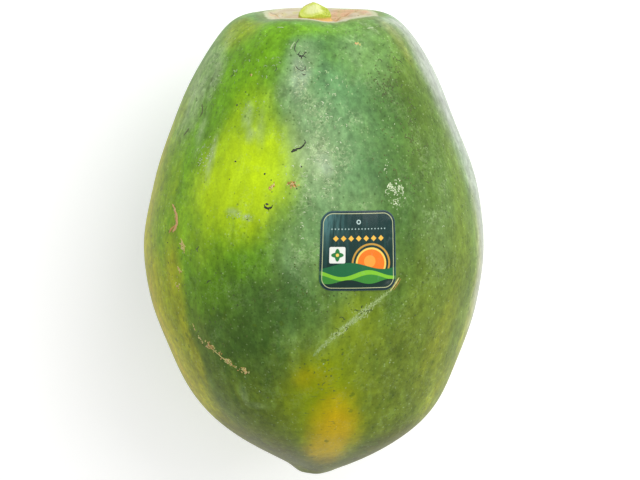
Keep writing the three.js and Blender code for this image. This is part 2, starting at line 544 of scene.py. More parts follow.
def build_fruit(material):
    t, around, faces = fruit_net()
    points = grown_skin(t, around)
    row_points = to_row(points)
    row_points[:, 2] = row_points[:, 2].clip(0)
    fruit = new_piece("papaya_body", row_points, faces, material)
    along, radius, _ = outline_at(t)
    in_hollow = smoothstep(SIDE_END, HOLLOW_START, t)
    give(fruit, "place", points)
    for kind in PATCHES:
        give(fruit, kind, covered(kind, along, around, radius.clip(LEAST_GIRTH)) * (1 - in_hollow))
    give(fruit, "rub", rubbed(along, around, radius) * (1 - in_hollow))
    cork_reach = radius + CORK_SHORT * hump(around, *CORK_SHORT_AT)
    give(fruit, "reach", np.where(in_hollow > 0.5, cork_reach, OUT_OF_REACH))
    give(fruit, "crack", corky(radius, in_hollow) * cracks(radius, around))
    give(fruit, "tip", tip_scar(radius, around) * (1 - in_hollow))
    return fruit


def srgb(red, green, blue):
    """a colour in bytes, made linear for a shader"""
    values = np.array([red, green, blue]) / 255
    low, high = values / 12.92, ((values + 0.055) / 1.055) ** 2.4
    return (*np.where(values < 0.04045, low, high), 1.0)


def add_node(tree, kind, inputs=None, **settings):
    """adds a node; inputs maps each socket to a value or to another node's output"""
    made = tree.nodes.new(kind)
    for name, value in settings.items():
        setattr(made, name, value)
    for socket, value in (inputs or {}).items():
        if isinstance(value, bpy.types.NodeSocket):
            tree.links.new(value, made.inputs[socket])
        else:
            made.inputs[socket].default_value = value
    return made


def maths(tree, operation, first, second=0.0, third=0.0, clamp=False):
    made = add_node(
        tree, "ShaderNodeMath", {0: first, 1: second, 2: third}, operation=operation, use_clamp=clamp
    )
    return made.outputs[0]


def times(tree, first, second):
    return maths(tree, "MULTIPLY", first, second)


def times_plus(tree, value, factor, added, clamp=False):
    return maths(tree, "MULTIPLY_ADD", value, factor, added, clamp)


def minus(tree, first, second):
    return maths(tree, "SUBTRACT", first, second)


def vector_maths(tree, operation, first, second):
    """second is a vector, or the factor of a SCALE"""
    inputs = {0: first, 3 if operation == "SCALE" else 1: second}
    return add_node(tree, "ShaderNodeVectorMath", inputs, operation=operation).outputs[0]


def ramp(tree, value, low, high):
    """0 at low, 1 at high, smooth between"""
    made = add_node(
        tree,
        "ShaderNodeMapRange",
        {"Value": value, "From Min": low, "From Max": high},
        interpolation_type="SMOOTHSTEP",
    )
    return made.outputs[0]


def blend(tree, share, under, over, kind="MIX"):
    """one colour laid over another by its share"""
    made = add_node(
        tree, "ShaderNodeMix", {0: share, 6: under, 7: over}, data_type="RGBA", blend_type=kind
    )
    return made.outputs[2]


def blend_number(tree, share, under, over):
    return add_node(tree, "ShaderNodeMix", {0: share, 2: under, 3: over}).outputs[0]


def stored(tree, name, output="Fac"):
    """what was given to the vertices under that name; Vector is the output of a vector"""
    return add_node(tree, "ShaderNodeAttribute", attribute_name=name).outputs[output]


def new_group(name, inputs, outputs):
    """an empty node group, with its input and output nodes"""
    group = bpy.data.node_groups.new(name, "ShaderNodeTree")
    for label, value in inputs.items():
        kind = "NodeSocketVector" if value is None else "NodeSocketFloat"
        socket = group.interface.new_socket(label, in_out="INPUT", socket_type=kind)
        if value is not None:
            socket.default_value = value
    for label in outputs:
        group.interface.new_socket(label, in_out="OUTPUT", socket_type="NodeSocketFloat")
    return group, group.nodes.new("NodeGroupInput"), group.nodes.new("NodeGroupOutput")


SEED_JUMP = 371.3
CLOUD_ROUGHNESS = 0.55


def elsewhere(group, given):
    """the place, moved far off by the seed, so that two uses of one pattern differ"""
    far = times(group, given.outputs["Seed"], SEED_JUMP)
    jump = add_node(group, "ShaderNodeCombineXYZ", {0: far, 1: far, 2: far}).outputs[0]
    return vector_maths(group, "ADD", given.outputs["Place"], jump)


def clouds_group():
    """Soft clouds drawn out along the fruit. Size is in millimetres."""
    group, given, result = new_group(
        "drawn out clouds",
        {"Place": None, "Size": 10.0, "Stretch": 1.0, "Detail": 3.0, "Seed": 0.0},
        ["Value"],
    )
    size = given.outputs["Size"]
    length = times(group, size, given.outputs["Stretch"])
    scale = add_node(group, "ShaderNodeCombineXYZ", {0: size, 1: length, 2: size}).outputs[0]
    cloud = add_node(
        group,
        "ShaderNodeTexNoise",
        {
            "Vector": vector_maths(group, "DIVIDE", elsewhere(group, given), scale),
            "Scale": 1.0,
            "Detail": given.outputs["Detail"],
            "Roughness": CLOUD_ROUGHNESS,
        },
    )
    group.links.new(cloud.outputs["Fac"], result.inputs["Value"])
    return group


def specks_group():
    """Small ragged specks. Size is a share of the spacing, Share is how many of the places bear one."""
    group, given, result = new_group(
        "strewn specks",
        {"Place": None, "Spacing": 3.0, "Size": 0.25, "Share": 0.5, "Ragged": 0.4, "Seed": 0.0},
        ["Mask"],
    )
    spread = maths(group, "DIVIDE", 1.0, given.outputs["Spacing"])
    scaled = vector_maths(group, "SCALE", elsewhere(group, given), spread)
    fray = add_node(group, "ShaderNodeTexNoise", {"Vector": scaled, "Scale": 4.0, "Detail": 2.0})
    shaken = vector_maths(group, "SUBTRACT", fray.outputs["Color"], (0.5, 0.5, 0.5))
    shift = vector_maths(group, "SCALE", shaken, given.outputs["Ragged"])
    frayed = vector_maths(group, "ADD", scaled, shift)
    cells = add_node(group, "ShaderNodeTexVoronoi", {"Vector": frayed, "Scale": 1.0})
    chance = add_node(group, "ShaderNodeSeparateColor", {0: cells.outputs["Color"]})
    borne = maths(group, "LESS_THAN", chance.outputs[0], given.outputs["Share"])
    # Each speck reaches 0.5 to 1.3 times the given size from its middle, and is solid up to half of that.
    own_size = times(group, given.outputs["Size"], times_plus(group, chance.outputs[1], 0.8, 0.5))
    disc = ramp(group, cells.outputs["Distance"], own_size, times(group, own_size, 0.5))
    group.links.new(times(group, disc, borne), result.inputs["Mask"])
    return group


def curls_group():
    """Thin curling lines. Size is how far apart they run and Width how thick they are, in millimetres."""
    group, given, result = new_group(
        "thin curls", {"Place": None, "Size": 3.0, "Width": 0.2, "Seed": 0.0}, ["Mask"]
    )
    spread = maths(group, "DIVIDE", 1.0, given.outputs["Size"])
    scaled = vector_maths(group, "SCALE", elsewhere(group, given), spread)
    field = add_node(group, "ShaderNodeTexNoise", {"Vector": scaled, "Scale": 1.0, "Detail": 2.0})
    # The lines run where the noise is at its middle. They are solid over the inner part of their width.
    off = maths(group, "ABSOLUTE", minus(group, field.outputs["Fac"], 0.5))
    half = times(group, times(group, given.outputs["Width"], spread), 0.5)
    group.links.new(ramp(group, off, half, times(group, half, 0.4)), result.inputs["Mask"])
    return group


CLOUDS = clouds_group()
SPECKS = specks_group()
CURLS = curls_group()


def cloud(tree, place, size, stretch=1.0, detail=3.0, seed=0.0):
    inputs = {"Place": place, "Size": size, "Stretch": stretch, "Detail": detail, "Seed": seed}
    return add_node(tree, "ShaderNodeGroup", inputs, node_tree=CLOUDS).outputs["Value"]


def specks(tree, place, spacing, size, share, ragged=0.4, seed=0.0):
    inputs = {
        "Place": place,
        "Spacing": spacing,
        "Size": size,
        "Share": share,
        "Ragged": ragged,
        "Seed": seed,
    }
    return add_node(tree, "ShaderNodeGroup", inputs, node_tree=SPECKS).outputs["Mask"]


def curls(tree, place, size, width, seed=0.0):
    inputs = {"Place": place, "Size": size, "Width": width, "Seed": seed}
    return add_node(tree, "ShaderNodeGroup", inputs, node_tree=CURLS).outputs["Mask"]


def new_material(name):
    material = bpy.data.materials.new(name)
    material.use_nodes = True
    return material, material.node_tree, material.node_tree.nodes["Principled BSDF"]


def dress(tree, shader, colour, roughness, height=None, strength=0.0, distance=0.0):
    """links a surface's colour, roughness and fine relief; strength and distance are those of its bump"""
    tree.links.new(colour, shader.inputs["Base Color"])
    tree.links.new(roughness, shader.inputs["Roughness"])
    if height is None:
        return
    bump = add_node(
        tree, "ShaderNodeBump", {"Height": height, "Strength": strength, "Distance": distance}
    )
    tree.links.new(bump.outputs[0], shader.inputs["Normal"])


# The colours of the patches, in the order in which they lie over each other, and how much each covers.
SKIN_COLOURS = {
    "olive": (srgb(104, 122, 38), 0.9),
    "dusk": (srgb(94, 139, 90), 0.9),
    # a deeper green, partly painted shade
    "deep_green_and_shade": (srgb(66, 102, 38), 0.9),
    "leafy": (srgb(110, 164, 14), 0.95),
    "straw": (srgb(180, 178, 0), 0.95),
    "lime": (srgb(196, 228, 18), 1.0),
    "ripe": (srgb(138, 156, 0), 0.95),
    "gold": (srgb(196, 168, 0), 1.0),
    # painted shade round the blossom end
    "painted_nose_shade": (srgb(92, 90, 8), 0.9),
    # partly a painted sheen
    "bloom_and_sheen": (srgb(135, 168, 116), 0.85),
    # partly painted highlights
    "wax": (srgb(168, 190, 140), 0.8),
    # partly a painted reflection
    "chalk_and_reflection": (srgb(188, 189, 188), 0.68),
}
# The bare skin at its two ends, and what marks it: streaks, specks, curls of cracked wax and soft spots.
BARE_NOSE, BARE_SHOULDER = srgb(110, 128, 38), srgb(100, 144, 68)
PALE_STREAK, DARK_STREAK = srgb(140, 174, 84), srgb(64, 102, 34)
PALE_SPECK, DARK_SPECK = srgb(186, 208, 150), srgb(50, 78, 26)
PALE_CURL, DARK_CURL = srgb(192, 212, 160), srgb(62, 88, 50)
SOFT_SPOT, SCRATCHED = srgb(88, 112, 24), srgb(152, 176, 108)
# The corky floor: its two shades, where green shows through, its middle, and the marks in it.
CORK_GREY, CORK_TAN = srgb(198, 190, 166), srgb(208, 172, 138)
CORK_GREEN, CORK_CENTRE = srgb(190, 186, 128), srgb(206, 164, 118)
CORK_RING, CORK_CRACK, CORK_SPECK = srgb(168, 144, 106), srgb(134, 100, 62), srgb(120, 88, 52)
CORK_VERGE, CORK_EDGE = srgb(112, 118, 48), srgb(192, 194, 158)
TIP_TAN, TIP_BROWN = srgb(146, 126, 62), srgb(80, 60, 32)


def skin_patterns(tree):
    """the clouds and masks that more than one of the skin's effects reads"""
    place = stored(tree, "place", "Vector")
    skin = SimpleNamespace(tree=tree, place=place)
    skin.onward = add_node(tree, "ShaderNodeSeparateXYZ", {0: place}).outputs["Y"]
    skin.wide = cloud(tree, place, size=14, stretch=1.8, detail=3, seed=1)
    skin.fine = cloud(tree, place, size=3.6, stretch=1.5, detail=4, seed=2)
    skin.streaks = cloud(tree, place, size=5, stretch=5, detail=3, seed=3)
    skin.grain = cloud(tree, place, size=0.9, stretch=1.0, detail=2, seed=4)
    ripened = maths(tree, "MAXIMUM", stored(tree, "lime"), stored(tree, "ripe"))
    skin.unripe = minus(tree, 1.0, ripened)
    # Where the waxy patches lie, which are partly painted highlights and a painted sheen.
    skin.waxy = maths(tree, "MAXIMUM", stored(tree, "wax"), stored(tree, "bloom_and_sheen"))
    pale_share = times_plus(tree, skin.waxy, 0.4, times_plus(tree, skin.unripe, 0.14, 0.03))
    skin.pale = specks(tree, place, spacing=1.3, size=0.34, share=pale_share, ragged=0.7, seed=1)
    dark_share = times(tree, times_plus(tree, skin.wide, 0.8, -0.12), skin.unripe)
    skin.dark = specks(tree, place, spacing=1.5, size=0.36, share=dark_share, ragged=0.7, seed=2)
    skin.spots = specks(tree, place, spacing=6, size=0.24, share=0.55, ragged=0.5, seed=3)
    # The stored radius in the hollow, made ragged by a few millimetres.
    ragged = times_plus(tree, minus(tree, skin.wide, 0.5), 5.0, stored(tree, "reach"))
    skin.reach = times_plus(tree, minus(tree, skin.fine, 0.5), 4.0, ragged)
    skin.cork = ramp(tree, skin.reach, 27.5, 25.5)
    return skin


def broken(skin, kind, seed):
    """a stored patch, its soft edge broken up by clouds"""
    tree = skin.tree
    patch = stored(tree, kind)
    own = cloud(tree, skin.place, size=12, stretch=2.2, detail=4, seed=seed)
    rough = times_plus(tree, own, 1.8, times_plus(tree, skin.fine, 0.4, -1.1))
    edge = times(tree, patch, minus(tree, 1.0, patch))
    return times_plus(tree, rough, times(tree, edge, 2.6), patch, clamp=True)


def bare_skin(skin):
    """the colour under the patches, from the nose to the shoulder, with streaks along the fruit"""
    tree = skin.tree
    colour = blend(tree, ramp(tree, skin.onward, 40, 190), BARE_NOSE, BARE_SHOULDER)
    light = times(tree, ramp(tree, skin.streaks, 0.5, 0.7), 0.4)
    colour = blend(tree, light, colour, PALE_STREAK)
    dark = times(tree, ramp(tree, skin.streaks, 0.48, 0.28), 0.5)
    return blend(tree, dark, colour, DARK_STREAK)


def patched(skin, colour):
    """the patches, partly painted light; waxen coat wiped in streaks, powder painted paler at a slant"""
    tree = skin.tree
    wiped = times_plus(tree, ramp(tree, skin.streaks, 0.36, 0.58), 0.5, 0.5)
    # painted sheen: the powdery patches are made paler in the colour where the skin is seen at a slant
    slanting = add_node(tree, "ShaderNodeLayerWeight", {"Blend": 0.5}).outputs["Facing"]
    painted_slant_sheen = times_plus(tree, ramp(tree, slanting, 0.3, 0.6), 0.5, 0.5)
    thinned = {"wax": wiped, "chalk_and_reflection": painted_slant_sheen}
    for seed, (kind, (tint, cover)) in enumerate(SKIN_COLOURS.items(), 5):
        share = times(tree, broken(skin, kind, seed), cover)
        if kind in thinned:
            share = times(tree, share, thinned[kind])
        colour = blend(tree, share, colour, tint)
    return colour


def marked(skin, colour):
    """specks, curls of the cracked waxen coat and soft spots, faint where the skin has ripened, and the
    rub mark
    """
    tree, place = skin.tree, skin.place
    colour = blend(tree, times(tree, skin.pale, 0.3), colour, PALE_SPECK)
    colour = blend(tree, times(tree, skin.dark, 0.45), colour, DARK_SPECK)
    scattered = ramp(tree, cloud(tree, place, size=9, stretch=1.3, detail=3, seed=16), 0.5, 0.62)
    curled = times(tree, scattered, times_plus(tree, skin.waxy, 0.42, 0.06))
    pale_curls = times(tree, curls(tree, place, size=2.2, width=0.3, seed=1), curled)
    dark_curls = times(tree, curls(tree, place, size=3.0, width=0.3, seed=2), curled)
    colour = blend(tree, pale_curls, colour, PALE_CURL)
    colour = blend(tree, times(tree, dark_curls, 0.7), colour, DARK_CURL)
    towards_nose = times(tree, ramp(tree, skin.onward, 120, 80), 0.55)
    colour = blend(tree, times(tree, skin.spots, towards_nose), colour, SOFT_SPOT)
    scratched = times(tree, stored(tree, "rub"), ramp(tree, skin.grain, 0.3, 0.6))
    return blend(tree, times(tree, scratched, 0.5), colour, SCRATCHED)


def mottled(skin, colour):
    """the colour in lighter and darker dabs, less so where the skin has ripened"""
    tree, place = skin.tree, skin.place
    small = cloud(tree, place, size=1.9, stretch=1.4, detail=2, seed=17)
    dabs = cloud(tree, place, size=4.5, stretch=2.2, detail=3, seed=18)
    mottle = times(tree, times_plus(tree, small, 0.9, 0.55), times_plus(tree, skin.wide, 0.7, 0.65))
    mottle = times(tree, mottle, times_plus(tree, dabs, 0.8, 0.6))
    rough_tone = times(tree, mottle, times_plus(tree, skin.fine, 0.7, 0.65))
    calm_tone = times_plus(tree, skin.streaks, 0.5, times_plus(tree, skin.fine, 0.2, 0.65))
    shade = times_plus(tree, skin.grain, 0.4, 0.8)
    tone = times(tree, shade, blend_number(tree, skin.unripe, calm_tone, rough_tone))
    grey = add_node(tree, "ShaderNodeCombineColor", {0: tone, 1: tone, 2: tone}).outputs[0]
    return blend(tree, 1.0, colour, grey, "MULTIPLY")


def hollowed(skin, colour):
    """the corky floor of the hollow with its rings and cracks, its pale rim, and the verge outside that"""
    tree, reach = skin.tree, skin.reach
    floor = blend(tree, ramp(tree, skin.wide, 0.45, 0.65), CORK_GREY, CORK_TAN)
    green_share = times(tree, ramp(tree, skin.fine, 0.45, 0.7), 0.7)
    floor = blend(tree, green_share, floor, CORK_GREEN)
    floor = blend(tree, ramp(tree, reach, 19, 9), floor, CORK_CENTRE)
    rings = maths(tree, "SINE", times(tree, reach, RING_PACE))
    floor = blend(tree, times(tree, ramp(tree, rings, 0.2, -0.8), 0.3), floor, CORK_RING)
    floor = blend(tree, times(tree, stored(tree, "crack"), 0.55), floor, CORK_CRACK)
    floor = blend(tree, times(tree, skin.dark, 0.5), floor, CORK_SPECK)
    colour = blend(tree, times(tree, ramp(tree, reach, 34, 29), 0.5), colour, CORK_VERGE)
    colour = blend(tree, skin.cork, colour, floor)
    rim = times(tree, ramp(tree, reach, 29, 27.5), ramp(tree, reach, 24.5, 26.5))
    return blend(tree, times(tree, rim, 0.8), colour, CORK_EDGE)


def tipped(skin, colour):
    """the brown scar at the blossom tip, tan where it thins out"""
    tree = skin.tree
    tip = times_plus(tree, minus(tree, skin.fine, 0.5), 0.5, stored(tree, "tip"))
    colour = blend(tree, times(tree, ramp(tree, tip, 0.15, 0.6), 0.6), colour, TIP_TAN)
    return blend(tree, ramp(tree, tip, 0.56, 0.95), colour, TIP_BROWN)


def skin_material():
    material, tree, shader = new_material("papaya skin")
    skin = skin_patterns(tree)
    colour = bare_skin(skin)
    for effect in (patched, marked, mottled, hollowed, tipped):
        colour = effect(skin, colour)
    dull = times_plus(tree, stored(tree, "bloom_and_sheen"), 0.16, 0.36)
    dull = times_plus(tree, skin.grain, 0.12, dull)
    dull = times_plus(tree, skin.cork, 0.3, dull)
    height = times_plus(tree, skin.grain, 0.35, times(tree, skin.fine, 0.5))
    for mark, rise in ((skin.pale, 0.25), (skin.spots, -0.2), (skin.dark, -0.3)):
        height = times_plus(tree, mark, rise, height)
    dress(tree, shader, colour, dull, height, strength=0.35, distance=0.0004)
    shader.inputs["IOR"].default_value = 1.22
    return material


fruit = build_fruit(skin_material())
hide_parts("fruit")


# ---- The stub of the stalk ---------------------------------------------------------------------------
# The last piece of the green stalk that held the fruit, grown out of the floor of the hollow. A knife has
# cut it off aslant, and to the right of a low ridge the last strip tore.

STUB_FOOT = 210.1
STUB_OVALITY = 1.08
STUB_SIDE = np.array([(0, 8.4), (1.1, 7.8), (3, 7), (6, 6.6), (16, 6.3)])  # height over the foot, radius
CUT_HEIGHT, CUT_BACK, CUT_RIGHT = 7.9, 0.42, 0.34  # height at the middle, rise backwards and to the right
RIDGE, RIDGE_FALL, RIDGE_SOFT = 1.0, 0.5, 1.2  # the tear falls away to the right of a rounded ridge
BOWL_DEPTH, BOWL_SPREAD = 0.25, 3.0  # the cut has sunk a little in its middle, as it dried
EDGE_DROP = 0.25  # the bark ends this far under the cut, so that the edge between them is rounded
CUT_ROWS = (0.985, 0.04)  # the first and the last row over the cut, as shares of its radius
STUB_ROUND, STUB_UP, STUB_ACROSS = 120, 30, 18


def past_ridge(x, z):
    """how far to the right of the ridge between the cut and the tear, in millimetres"""
    return x - RIDGE - 0.2 * z - 0.3 * np.sin(1.3 * z)


def cut_height(x, z):
    """the height of the slanting cut over the foot"""
    past = past_ridge(x, z)
    tear = (RIDGE_FALL + CUT_RIGHT) * (past + np.hypot(past, RIDGE_SOFT)) / 2
    fibres = 0.06 * np.sin(5.1 * x + 1.4 * np.sin(0.9 * z)) + 0.04 * np.sin(8.3 * z + x)
    bowl = -BOWL_DEPTH * hump(np.hypot(x, z), 0, BOWL_SPREAD)
    return CUT_HEIGHT - CUT_BACK * z + CUT_RIGHT * x - tear + fibres + bowl


def stub_radius(angle, height):
    """the radius of the bark, with its fine ribs and rings"""
    ribs = 0.1 * np.cos(9 * angle + 0.3 * height) + 0.05 * np.cos(23 * angle + 1)
    rings = 0.06 * np.sin(3.1 * height + np.sin(2 * angle))
    return np.interp(height, *STUB_SIDE.T) + ribs + rings


def stub_net():
    """points in the stub's own frame, how far each is in from the rim of the cut, and the faces"""
    angle = np.arange(STUB_ROUND) * 2 * np.pi / STUB_ROUND
    sine, cosine = np.sin(angle), np.cos(angle)
    rim = np.full(STUB_ROUND, STUB_SIDE[-1, 1])
    for _ in range(6):
        top = cut_height(rim * sine, rim * cosine)
        rim = stub_radius(angle, top)
    rows, inwards = [], []
    for share in np.linspace(0, 1, STUB_UP):
        height = share * (top - EDGE_DROP)
        radius = stub_radius(angle, height)
        rows.append(np.column_stack([radius * sine, height, radius * cosine]))
        inwards.append(np.full(STUB_ROUND, -1.0 + share))
    for share in np.linspace(*CUT_ROWS, STUB_ACROSS):
        x, z = rim * share * sine, rim * share * cosine
        rows.append(np.column_stack([x, cut_height(x, z), z]))
        inwards.append(np.full(STUB_ROUND, 1 - share))
    foot, middle = np.zeros((1, 3)), np.array([[0, cut_height(np.float64(0), 0), 0]])
    points = np.vstack([foot, *rows, middle])
    points[:, 0] *= STUB_OVALITY
    inward = np.concatenate([[-1], *inwards, [1]])
    return points, inward, capped_rings(len(rows), STUB_ROUND)


BARK_GREEN, BARK_PALE, BARK_FOOT = srgb(146, 164, 24), srgb(176, 192, 50), srgb(214, 176, 104)
FLESH_GREEN, FLESH_PALE, PITH = srgb(186, 202, 52), srgb(206, 214, 110), srgb(212, 218, 146)
VESSELS, CUT_EDGE = srgb(160, 176, 50), srgb(172, 188, 40)
TORN_GREEN, TORN_PALE, SCORCHED = srgb(146, 162, 24), srgb(186, 198, 66), srgb(150, 108, 58)


def cut_flesh(tree, inward, blotches):
    """the colour of the cut: a thin green edge, a ring of vessels in pale flesh, and the pith"""
    flesh = blend(tree, ramp(tree, blotches, 0.3, 0.7), FLESH_GREEN, FLESH_PALE)
    flesh = blend(tree, ramp(tree, inward, 0.2, 0.6), flesh, PITH)
    vessels = times(tree, ramp(tree, inward, 0.2, 0.28), ramp(tree, inward, 0.4, 0.32))
    flesh = blend(tree, times(tree, vessels, 0.2), flesh, VESSELS)
    return blend(tree, ramp(tree, inward, 0.07, 0.02), flesh, CUT_EDGE)


def stub_material():
    material, tree, shader = new_material("cut green stalk")
    place = stored(tree, "place", "Vector")
    inward = stored(tree, "inward")
    blotches = cloud(tree, place, size=2.2, stretch=1.0, detail=3, seed=21)
    fibres = cloud(tree, place, size=0.5, stretch=7.0, detail=3, seed=22)
    onward = add_node(tree, "ShaderNodeSeparateXYZ", {0: place}).outputs["Y"]
    bark = blend(tree, ramp(tree, fibres, 0.3, 0.7), BARK_GREEN, BARK_PALE)
    bark = blend(tree, ramp(tree, onward, 4.6, 3.2), bark, BARK_FOOT)
    colour = blend(tree, ramp(tree, inward, -0.01, 0.01), bark, cut_flesh(tree, inward, blotches))
    torn = blend(tree, ramp(tree, fibres, 0.35, 0.65), TORN_GREEN, TORN_PALE)
    colour = blend(tree, stored(tree, "torn"), colour, torn)
    scorch = times(tree, stored(tree, "scorch"), ramp(tree, blotches, 0.3, 0.6))
    colour = blend(tree, scorch, colour, SCORCHED)
    rough = times_plus(tree, blotches, 0.2, 0.45)
    height = times_plus(tree, fibres, 0.6, times(tree, blotches, 0.4))
    dress(tree, shader, colour, rough, height, strength=0.5, distance=0.0004)
    shader.inputs["IOR"].default_value = 1.4
    return material


TORN_FROM, TORN_WHOLLY = 1, 3.5  # millimetres past the ridge


def build_stub(material):
    points, inward, faces = stub_net()
    stub = new_piece("stalk_stub_cut", to_row(points + (0, STUB_FOOT, 0)), faces, material)
    x, _, z = points.T
    on_cut, back_edge = smoothstep(-0.06, 0, inward), hump(inward, 0, 0.1) * smoothstep(-2, -5.5, z)
    give(stub, "place", points)
    give(stub, "inward", inward)
    give(stub, "torn", on_cut * smoothstep(TORN_FROM, TORN_WHOLLY, past_ridge(x, z)))
    give(stub, "scorch", back_edge * smoothstep(4, 2, x))
    return stub


stub = build_stub(stub_material())
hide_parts("stalk_stub")


# ---- Healed scars ------------------------------------------------------------------------------------
# Where a leaf stalk or a neighbouring fruit rubbed the growing skin, it healed with tan and pinkish cork:
# ragged flakes and threads that stand a little proud and are grown fast to the skin.

BEAD_SIDES = 8
BEAD_WIDTHS = (0.6, 1.4)  # how uneven a bead is, as shares of its width


def around_step(along, millimetres):
    """how many degrees round the fruit a step to the right is, at that place along it"""
    radius = np.interp(along, *outline_at(ALONG_TABLE)[:2])
    return np.degrees(millimetres / radius)


def bead(path, half_width, half_height, dice, rings=6):
    """points and faces of a ragged closed bead along a path of (along, around) places on the skin"""
    path = np.array(path, float)
    along, around = part_way(path, np.linspace(0, len(path) - 1, rings + 2))
    t = t_at(along)
    middle = grown_skin(t, around)
    out = skin_normal(t, around)
    aside = unit(np.cross(out, np.gradient(middle, axis=0)))
    swell = np.sqrt(1 - np.linspace(-1, 1, rings + 2) ** 2)
    width = half_width * swell * dice.uniform(*BEAD_WIDTHS, rings + 2)
    turn = np.arange(BEAD_SIDES) * 2 * np.pi / BEAD_SIDES
    ring = (
        middle[:, None]
        + aside[:, None] * (width[:, None] * np.cos(turn))[:, :, None]
        + out[:, None] * (half_height * swell[:, None] * np.sin(turn))[:, :, None]
    )
    points = np.vstack([middle[:1], ring[1:-1].reshape(-1, 3), middle[-1:]])
    return points, capped_rings(rings, BEAD_SIDES, mirrored=True)


CLEAR_OF_FLOOR = 0.3 * MM


def build_marks(name, beads, material, bead_tones=None):
    """one piece of all beads that lie clear of the floor; each has a tone of its own, 0 to 1"""
    if bead_tones is None:
        bead_tones = np.random.default_rng(len(beads)).uniform(size=len(beads))
    points, faces, tones, count = [], [], [], 0
    for (bead_points, bead_faces), tone in zip(beads, bead_tones):
        if to_row(bead_points)[:, 2].min() < CLEAR_OF_FLOOR:
            continue
        points.append(bead_points)
        faces += [tuple(count + corner for corner in face) for face in bead_faces]
        tones.append(np.full(len(bead_points), tone))
        count += len(bead_points)
    points = np.vstack(points)
    piece = new_piece(name, to_row(points), faces, material)
    give(piece, "place", points)
    give(piece, "tone", np.concatenate(tones))
    return piece


def stroke(at, side, length, heading, bend=0.0, steps=5):
    """a path through a place: heading 0 runs along the fruit, 90 to the right; bend is in degrees"""
    walked = np.linspace(-0.5, 0.5, steps)
    angles = np.radians(heading + bend * walked)
    onward = np.cumsum(np.cos(angles)) * length / steps
    aside = np.cumsum(np.sin(angles)) * length / steps
    onward -= onward.mean()
    aside -= aside.mean()
    return np.column_stack([at + onward, side + around_step(at, aside)])


STREWN = 0.5  # how far the strewing spreads, as a share of an oval's half length and half width
ANY_HEADING = (0, 180)


def strewn(at, side, long, wide, dice):
    """a place somewhere in a soft oval"""
    onward, aside = dice.normal(0, STREWN, 2) * (long, wide)
    return at + onward, side + around_step(at, aside)


# A flake's length, half width and half height as shares of its size, and its bend in degrees.
FLAKE_LENGTH, FLAKE_WIDTH, FLAKE_HEIGHT = (0.6, 2.2), (0.25, 0.6), (0.1, 0.22)
FLAKE_BEND = (-60, 60)


def flakes_along(line, count, spread, size, dice):
    """flakes of cork strewn along a line of (along, around) places"""
    line = np.array(line, float)
    beads = []
    for _ in range(count):
        at, side = part_way(line, dice.uniform(0, len(line) - 1))
        at, side = strewn(at, side, spread, spread, dice)
        length = size * dice.uniform(*FLAKE_LENGTH)
        path = stroke(at, side, length, dice.uniform(*ANY_HEADING), dice.uniform(*FLAKE_BEND))
        half_width, half_height = size * dice.uniform(*FLAKE_WIDTH), size * dice.uniform(*FLAKE_HEIGHT)
        beads.append(bead(path, half_width, half_height, dice))
    return beads


# Lines of flakes: the places along the line, how many, their spread and size in millimetres, and their
# tone, from 0 for dark bark over 0.5 for orange tan to 1 for pale straw.
SCAR_LINES = (
    (((84, -46.2), (81, -45.4)), 9, 0.4, 0.6, 0.75),
    (((79, -44.6), (76.6, -42.6)), 16, 1.0, 0.6, 0.8),
    (((76, -41.2), (74.6, -38)), 34, 1.6, 0.8, 0.55),
    (((74.6, -38), (71, -34)), 14, 1.6, 0.6, 0.85),
    (((70.6, -33.4), (68, -31.4)), 30, 1.7, 0.8, 0.9),
    (((68, -30), (66.4, -28.4)), 7, 1.4, 0.6, 0.8),
    (((67.4, -27), (64.8, -25)), 26, 1.4, 0.8, 0.7),
    (((120.5, -49), (118, -48)), 16, 1.3, 0.9, 0.85),
    (((109, -51.2), (107, -50.2)), 11, 1.2, 0.8, 0.8),
    (((102, -52.5), (99, -51.5)), 9, 1.3, 0.7, 0.8),
    (((134, -56), (128, -53), (124, -55)), 24, 0.5, 0.9, 0.5),
    (((193.6, -32.4), (193.2, -32)), 5, 0.4, 0.7, 0.9),
    (((206.8, 24.4), (206.4, 26)), 8, 0.7, 0.6, 0.9),
    (((148, -15.6), (150, -14)), 24, 1.0, 0.7, 0.6),
    (((150.4, -9), (149.6, -6.6)), 26, 1.1, 0.75, 0.45),
    (((96, 118), (84, 126)), 34, 1.6, 0.9, 0.7),
    (((150, 140), (144, 141)), 14, 1.3, 0.8, 0.5),
    (((70, -160), (58, -152), (52, -141)), 40, 1.5, 0.9, 0.7),
    (((178, -130), (172, -127)), 12, 1.2, 0.8, 0.6),
    (((120, 95), (112, 93)), 14, 1.2, 0.8, 0.7),
)
# Single threads of cork: the places along the thread, its half width in millimetres, and its tone.
SCAR_THREADS = (
    (
        ((135.8, -58.6), (134, -56), (131.2, -53.8), (128, -53), (125.5, -53.6), (123.6, -55.2)),
        0.7,
        0.55,
    ),
    (((127.5, -53.4), (124.6, -56.2), (123, -57)), 0.5, 0.4),
    (((76, -41), (72, -36), (68, -31.6)), 0.2, 0.9),
    (((122.5, -50), (119.5, -48), (116, -47.5)), 0.5, 0.8),
    (((120, -50.6), (119.2, -47)), 0.4, 0.9),
    (((109.2, 28), (106.6, 26.6), (103.4, 24.8)), 0.4, 0.95),
    (((108.6, 28.6), (106, 27.2), (103.6, 25.8)), 0.3, 0.2),
    (((96, 118), (90, 121), (84, 126)), 0.3, 0.7),
    (((70, -160), (62, -155), (52, -141)), 0.3, 0.7),
)

THREAD_HEIGHT, THREAD_RINGS = 0.16, 24
SCAR_TONE_SPREAD = 0.28
